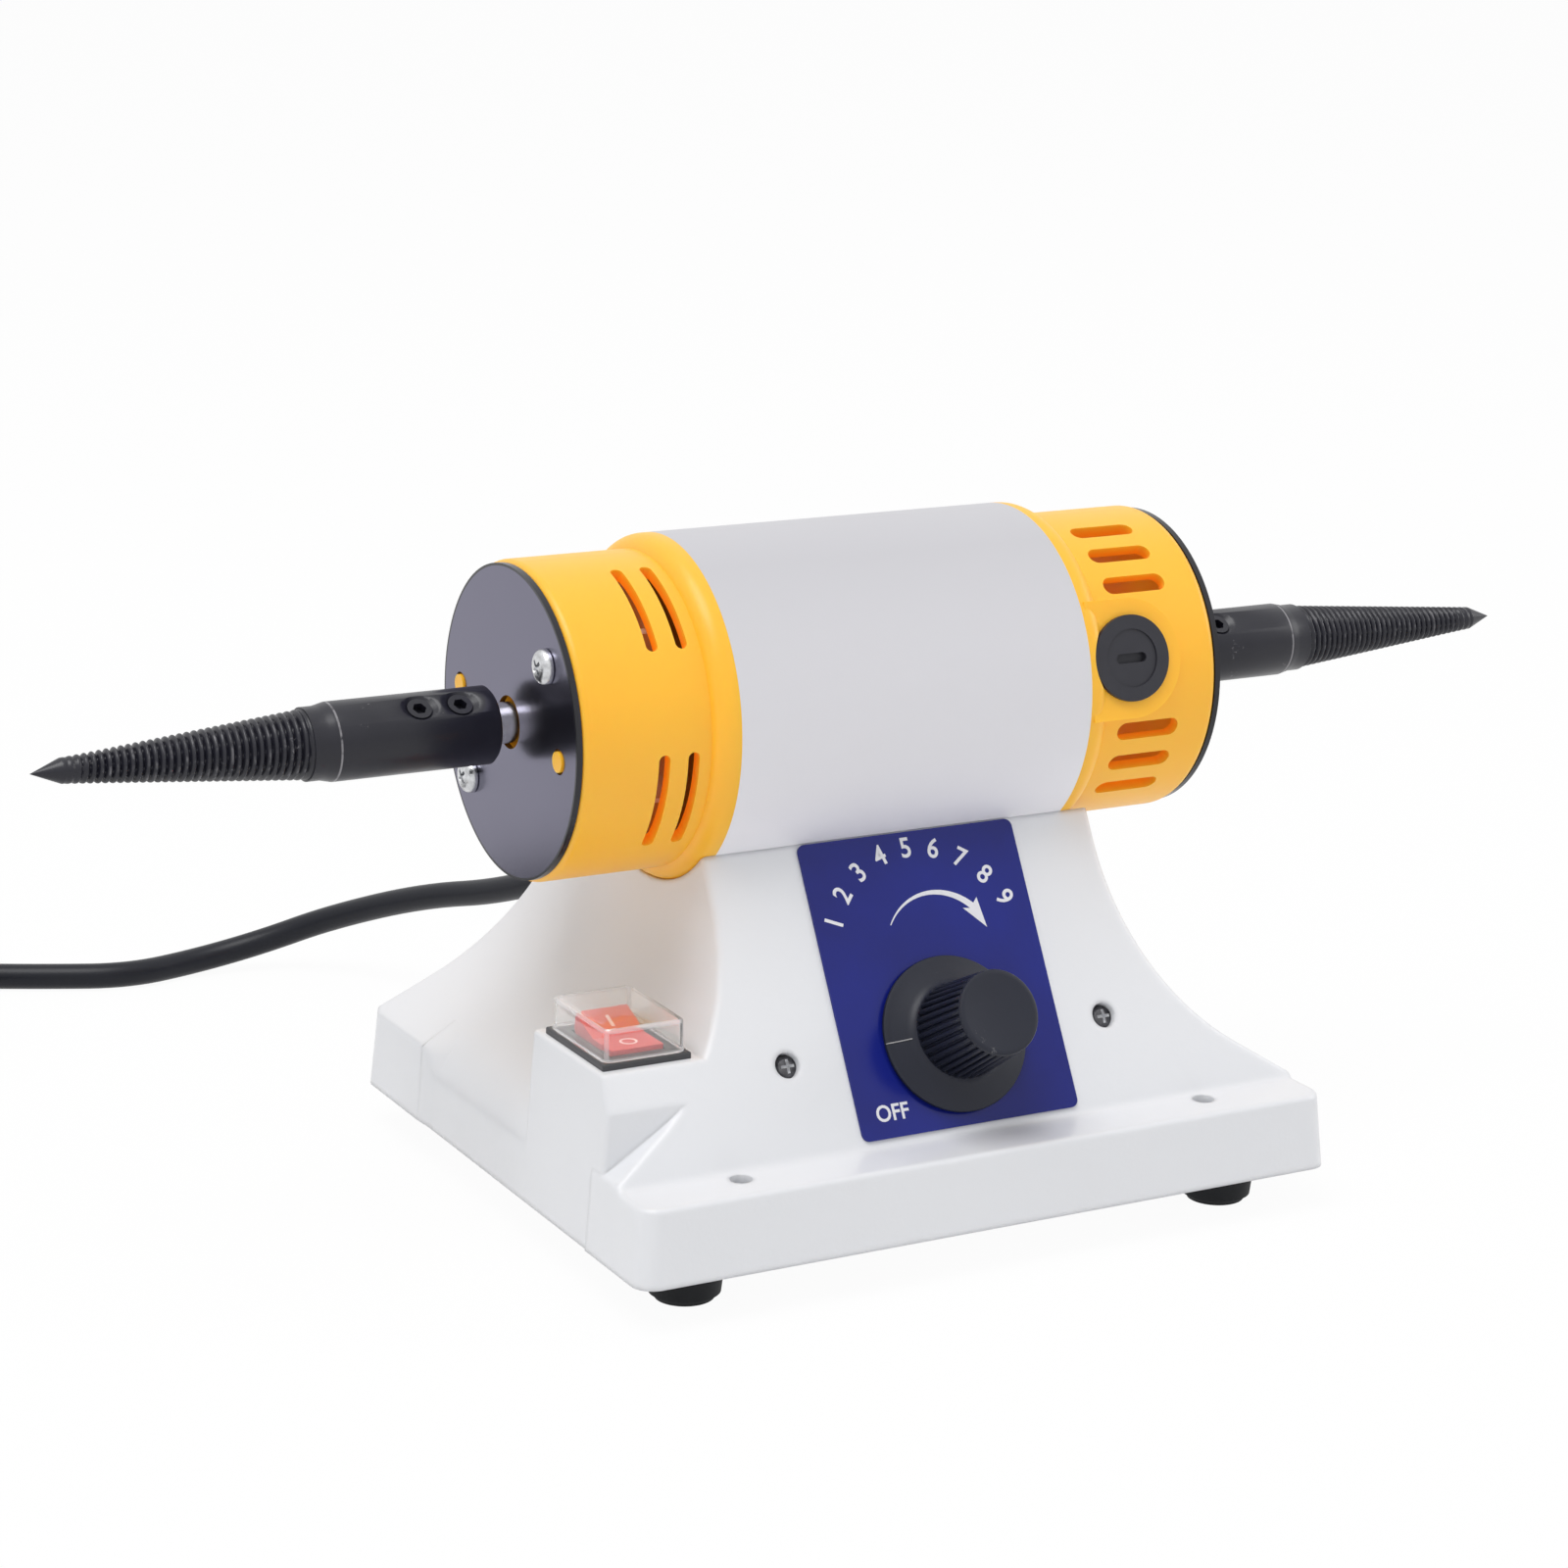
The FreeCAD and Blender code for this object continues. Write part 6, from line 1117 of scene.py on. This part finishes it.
# %% [markdown]
# ## Speed knob
# The knob is one moulding: a thin skirt that carries the pointer, and a ribbed grip with a
# slightly dished end. The round body is a turned profile. The ribs are one tapered bar set
# round the grip by the ring tree, which keeps them even and easy to count.

# %% Body of the knob
KNOB_ACROSS, KNOB_UP = 0.9, 24.2
SKIRT_EDGE, SKIRT_ROOT, SKIRT_CURVE = (19.0, 2.42), (12.6, 4.3), 1.25
GRIP_FOOT, GRIP_TOP, RIB_RISE = 12.0, 10.75, 0.85
knob_profile = [(0, 20.2), (3.05, 20.2), (3.05, 4.5), (6.9, 4.5), (6.9, 1.2), (18.9, 1.2),
                (19.4, 1.35), (19.5, 1.6), (19.5, 2.05), (19.35, 2.3), SKIRT_EDGE]
for k in range(1, 9):
    share = k / 9
    knob_profile.append((SKIRT_EDGE[0] - (SKIRT_EDGE[0] - SKIRT_ROOT[0]) * share,
                         SKIRT_EDGE[1] + (SKIRT_ROOT[1] - SKIRT_EDGE[1]) * share ** SKIRT_CURVE))
knob_profile += [(12.3, 4.7), (GRIP_FOOT, 5.2), (GRIP_FOOT - RIB_RISE, 5.25),
                 (GRIP_TOP - RIB_RISE, 23.9), (10.35, 24.05), (10.62, 24.35), (10.62, 24.75),
                 (10.4, 25.12), (10.0, 25.3), (9.2, 25.24), (6.5, 25.02), (3.2, 24.86),
                 (0, 24.8)]
knob_skin = finishes["knob_black"]
core = turned_shape("knob_core", knob_profile, 144, knob_skin)
print("knob's body", len(core.data.polygons), "faces")

# %% Ribs of the knob
RIBS, RIB_HALF, RIB_TAPER, RIB_ROOT = 36, 0.70, 0.06, 0.4
RIB_LOW, RIB_SPAN, RIB_STEPS, RIB_FULLNESS = 5.3, 18.2, 6, 0.8
RIB_START = (4.9, 12.0, 0.70, 0.80)
RIB_END = ((24.0, 10.68, 0.52, 0.70), (24.3, 10.65, 0.30, 0.45))


def rib_ring(height, radius, half_width, rise):
    """A rounded section of a rib that starts inside the grip."""
    root = radius - RIB_RISE - RIB_ROOT
    section = [(root, -half_width), (radius - RIB_RISE, -half_width)]
    for k in range(1, 8):
        turn = math.pi * k / 8
        section.append((radius - RIB_RISE + rise * math.sin(turn) ** RIB_FULLNESS,
                        -half_width * math.cos(turn)))
    section += [(radius - RIB_RISE, half_width), (root, half_width)]
    return [Vector((r * MM, y * MM, height * MM)) for r, y in section]


rib_rows = [rib_ring(*RIB_START), rib_ring(RIB_LOW, GRIP_FOOT, RIB_HALF, RIB_RISE)]
for k in range(1, RIB_STEPS + 1):
    share = k / RIB_STEPS
    rib_rows.append(rib_ring(RIB_LOW + RIB_SPAN * share,
                             GRIP_FOOT - (GRIP_FOOT - GRIP_TOP) * share,
                             RIB_HALF - RIB_TAPER * share, RIB_RISE))
rib_rows += [rib_ring(*section) for section in RIB_END]
rib = rings_mesh("knob_rib", rib_rows, knob_skin)
ribs = ring_of("knob_ribs", rib, RIBS, 0.0, 0.0, Matrix.Identity(4), knob_skin)
bpy.data.objects.remove(rib)
print("ribs", RIBS)

# %% Pointer, and the knob in its place
POINTER = ((12.9, 4.0, 0.12), (13.2, 4.42, 0.17), (15.0, 3.60, 0.17), (17.0, 2.98, 0.17),
           (19.0, 2.56, 0.17), (19.45, 2.28, 0.14))
POINTER_SUNK, POINTER_RISE, POINTER_TOP = 0.5, 0.06, 0.7
line_paint = finish("knob_line_paint", (0.42, 0.41, 0.42), 0.5, other=(0.12, 0.12, 0.12),
                    drift_size=0.0015, drift_amount=0.7, grain=0.0003)
pointer_rows = []
for radius, height, half in POINTER:
    low, high = height - POINTER_SUNK, height + POINTER_RISE
    section = ((-half, low), (-half * POINTER_TOP, high), (half * POINTER_TOP, high),
               (half, low))
    pointer_rows.append([Vector((-radius * MM, y * MM, z * MM)) for y, z in section])
pointer = rings_mesh("knob_pointer", pointer_rows, line_paint)
knob = join_into(core, ribs, pointer)
knob.name = "ribbed_knob"
knob.data.transform(on_face(KNOB_ACROSS, KNOB_UP))
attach(knob, "knob")
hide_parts("speed_knob")
print("knob", len(knob.data.polygons), "faces")

# %% [markdown]
# ## Switch
# A clear hood keeps dust off the rocker. It is one thin moulding, so it is built as one skin of
# rounded rectangles: down the inside, out along the flange, up the outside and over the top.
# It bends light only a little, which keeps its edges light. The rocker carries a raised
# stroke for on and a ring for off, one on each of its two faces. The bent strips of the hood
# have a skin of their own, whiter and less clear: a painted highlight along its edges and
# corners.

# %% Clear hood
HOOD_MIDDLE = Vector((-75.7, -35.3, 55.6))
HOOD_HALF_X, HOOD_HALF_Y, HOOD_CORNER, HOOD_WALL, HOOD_TOP = 10.7, 15.1, 2.4, 0.8, 8.1
INSIDE_BEND, OUTSIDE_BEND, LEAST_CORNER = 0.4, 1.1, 0.25


def hood_ring(inset, height):
    """Points round the hood at a distance inside its outer wall."""
    corner = max(HOOD_CORNER - inset, LEAST_CORNER)
    ring = []
    for k, (sx, sy) in enumerate(((1, 1), (-1, 1), (-1, -1), (1, -1))):
        for step in range(7):
            turn = math.radians(90 * k + 15 * step)
            ring.append((HOOD_MIDDLE + Vector((
                sx * (HOOD_HALF_X - inset - corner) + corner * math.cos(turn),
                sy * (HOOD_HALF_Y - inset - corner) + corner * math.sin(turn), height))) * MM)
    return ring


hood_path = []
for k in range(6, -1, -1):
    turn = math.radians(15 * k)
    hood_path.append((HOOD_WALL + INSIDE_BEND * (1 - math.cos(turn)),
                      HOOD_TOP - HOOD_WALL + INSIDE_BEND * (math.sin(turn) - 1)))
hood_path += [(HOOD_WALL, 0.0), (-0.25, 0.0), (-0.3, 0.1), (-0.3, 0.5), (-0.2, 0.6),
              (0.0, 0.7)]
for k in range(7):
    turn = math.radians(15 * k)
    hood_path.append((OUTSIDE_BEND * (1 - math.cos(turn)),
                      HOOD_TOP + OUTSIDE_BEND * (math.sin(turn) - 1)))
hood = soft_shade(rings_mesh("clear_hood", [hood_ring(*step) for step in hood_path],
                             finishes["clear_cover"]))
print("hood", len(hood.data.polygons), "faces")

# %% Painted highlight on the bent strips of the hood
CORNER_STRIP, EDGE_STRIP, FLAT_TOP, LIP_HEIGHT, LIP_FACE = 1.4, 0.75, 0.02, 0.75, 0.00004
# A whiter, less clear skin on the bent strips and at the lip: a painted highlight along the
# hood's edges.
bent = finish("bent_strip_highlight", (0.98, 0.98, 1.0), 0.12, other=(0.95, 0.95, 0.98),
              drift_size=0.004, grain=0.0006, clear=0.72, ior=1.06, coat=1.0, coat_rough=0.1)
hood.data.materials.append(bent)
for face in hood.data.polygons:
    place = face.center / MM - HOOD_MIDDLE
    from_x, from_y = HOOD_HALF_X - abs(place.x), HOOD_HALF_Y - abs(place.y)
    in_corner = from_x < CORNER_STRIP and from_y < CORNER_STRIP
    over_edge = (HOOD_TOP - OUTSIDE_BEND < place.z < HOOD_TOP - FLAT_TOP
                 and min(from_x, from_y) < EDGE_STRIP)
    at_lip = place.z < LIP_HEIGHT and face.area < LIP_FACE
    face.material_index = 1 if in_corner or over_edge or at_lip else 0
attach(hood, "lathe_base")
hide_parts("switch_cover")
print("bent strips", sum(face.material_index for face in hood.data.polygons), "faces")

# %% Marks of the rocker
ROCKER_PIVOT, ROCKER_TILT, FACE_TILT = Vector((-75.7, -35.3, 53.6)), 10.0, 10.2
FACE_MIDDLE, FACE_HEIGHT = 5.0, 4.1
STROKE_HALF, STROKE_REACH, RING_IN, RING_OUT = 0.45, 2.2, 1.6, 2.2
MARK_LOW, MARK_HIGH = -0.1, 0.06
mark_paint = finish("mark_paint", (0.88, 0.62, 0.60), 0.4, other=(0.84, 0.50, 0.48),
                    drift_size=0.003, grain=0.0004)


def on_rocker(end):
    """The middle of one of the rocker's two faces, as the switch stands at rest."""
    return (Matrix.Translation(ROCKER_PIVOT * MM)
            @ Matrix.Rotation(math.radians(ROCKER_TILT), 4, "X")
            @ Matrix.Translation((0, end * FACE_MIDDLE * MM, FACE_HEIGHT * MM))
            @ Matrix.Rotation(math.radians(end * FACE_TILT), 4, "X"))


corners = ((-STROKE_HALF, -STROKE_REACH), (STROKE_HALF, -STROKE_REACH),
           (STROKE_HALF, STROKE_REACH), (-STROKE_HALF, STROKE_REACH))
stroke = rings_mesh("on_stroke", [[Vector((x, y, z)) * MM for x, y in corners]
                                  for z in (MARK_LOW, MARK_HIGH)], mark_paint)
stroke.data.transform(on_rocker(1))
ring_mark = turned_shape("off_ring", [(RING_IN, MARK_LOW), (RING_OUT, MARK_LOW),
                                      (RING_OUT, MARK_HIGH), (RING_IN, MARK_HIGH),
                                      (RING_IN, MARK_LOW)], 36, mark_paint)
ring_mark.data.transform(on_rocker(-1))
rocker_marks = join_into(stroke, ring_mark)
mesh = bmesh.new()
mesh.from_mesh(rocker_marks.data)
bmesh.ops.remove_doubles(mesh, verts=mesh.verts, dist=WELD)
bmesh.ops.recalc_face_normals(mesh, faces=mesh.faces)
mesh.to_mesh(rocker_marks.data)
mesh.free()
rocker_marks.name = "rocker_marks"
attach(rocker_marks, "rocker")
print("rocker marks", len(rocker_marks.data.polygons), "faces")

# %% [markdown]
# ## Print on the panel
# The blue panel has a white screen print: a scale of numbers on an arc, an arrow that grows
# towards faster, and OFF where the knob clicks. Letters are text made into a thin mesh, and
# the arrow is a flat outline with a little thickness. Each sits on the panel's face.

# %% Printed marks
print_white = finish("print_white", (0.80, 0.80, 0.84), 0.42, other=(0.72, 0.72, 0.78),
                     drift_size=0.002, grain=0.0004, relief_depth=0.00001)
PANEL_SKIN, INK, CAPITAL_SHARE, BOLD, SQUEEZE = 0.60, 0.04, 0.73, 0.10, 0.92


def printed_text(name, words, height, place):
    """Centred words as a thin mesh, put in their place on the panel."""
    letters = bpy.data.curves.new(name, "FONT")
    letters.body = words
    letters.size = height * MM / CAPITAL_SHARE
    letters.extrude = INK * MM / 2
    letters.offset = BOLD * MM
    letters.align_x = "CENTER"
    letters.align_y = "CENTER"
    letters.resolution_u = 4
    carrier = link(bpy.data.objects.new(name, letters))
    mesh = frozen(carrier)
    bpy.data.objects.remove(carrier)
    mesh.transform(place @ Matrix.Diagonal((SQUEEZE, 1, 1, 1)))
    mesh.materials.clear()
    mesh.materials.append(print_white)
    return link(bpy.data.objects.new(name, mesh))


def on_panel(across, up):
    """A place on the printed face of the panel."""
    return on_face(across, up, PANEL_SKIN + INK / 2)


# %% Numbers and OFF
ARC_ACROSS, ARC_UP, ARC_RADIUS, ARC_START, ARC_STEP = 0.3, 45.3, 26.2, 157, 16.6
OFF_ACROSS, OFF_UP, OFF_HEIGHT, NUMBER_HEIGHT = -20.1, 7.7, 4.1, 5.2
marks = [printed_text("off_mark", "OFF", OFF_HEIGHT, on_panel(OFF_ACROSS, OFF_UP))]
for number in range(1, 10):
    turn = ARC_START - (number - 1) * ARC_STEP
    spot = on_panel(ARC_ACROSS + ARC_RADIUS * math.cos(math.radians(turn)),
                    ARC_UP + ARC_RADIUS * math.sin(math.radians(turn)))
    lean = Matrix.Rotation(math.radians(turn - 90), 4, "Z")
    marks.append(printed_text("scale_mark", str(number), NUMBER_HEIGHT, spot @ lean))
print("printed words and numbers:", len(marks))


# %% Arrow, and the print in its place
def flat_shape(name, outline):
    """A thin plate of ink from an outline in mm on the panel."""
    mesh = bmesh.new()
    place = on_panel(SWEEP_ACROSS, 0)
    rows = [[mesh.verts.new(place @ Vector((x * MM, y * MM, z))) for x, y in outline]
            for z in (-INK * MM / 2, INK * MM / 2)]
    skin_between(mesh, *rows)
    for row in rows:
        rim = [mesh.edges.get(pair) for pair in zip(row, row[1:] + row[:1])]
        bmesh.ops.triangle_fill(mesh, edges=rim, use_beauty=True)
    return to_object(name, mesh, print_white)


SWEEP_ACROSS, SWEEP_RADIUS, SWEEP_MIDDLE = 0.5, 15.2, (3.2, 44.6)
SWEEP_START, SWEEP_END, SWEEP_STEPS = 146, 44, 24
TAIL_HALF, SWEEP_GROWTH = 0.12, 0.75
ARROW_TIP, BARB_BACK, BARB_HALF = Vector((17.0, 49.3)), 0.9, 2.5


def on_sweep(degrees, reach):
    """A point of the arrow's arc."""
    turn = math.radians(degrees)
    return (SWEEP_MIDDLE[0] + reach * math.cos(turn), SWEEP_MIDDLE[1] + reach * math.sin(turn))


upper, lower = [], []
for k in range(SWEEP_STEPS + 1):
    share = k / SWEEP_STEPS
    degrees = SWEEP_START - share * (SWEEP_START - SWEEP_END)
    half = TAIL_HALF + SWEEP_GROWTH * share
    upper.append(on_sweep(degrees, SWEEP_RADIUS + half))
    lower.append(on_sweep(degrees, SWEEP_RADIUS - half))
neck = Vector(on_sweep(SWEEP_END, SWEEP_RADIUS))
heading = (ARROW_TIP - neck).normalized()
beside = Vector((-heading.y, heading.x))
barb = neck - heading * BARB_BACK
head = [barb + beside * BARB_HALF, ARROW_TIP, barb - beside * BARB_HALF]
marks.append(flat_shape("sweep_arrow", upper + [tuple(p) for p in head] + lower[::-1]))
print_marks = join_into(*marks)
print_marks.name = "panel_print"
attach(print_marks, "lathe_base")
print("print", len(print_marks.data.polygons), "faces")
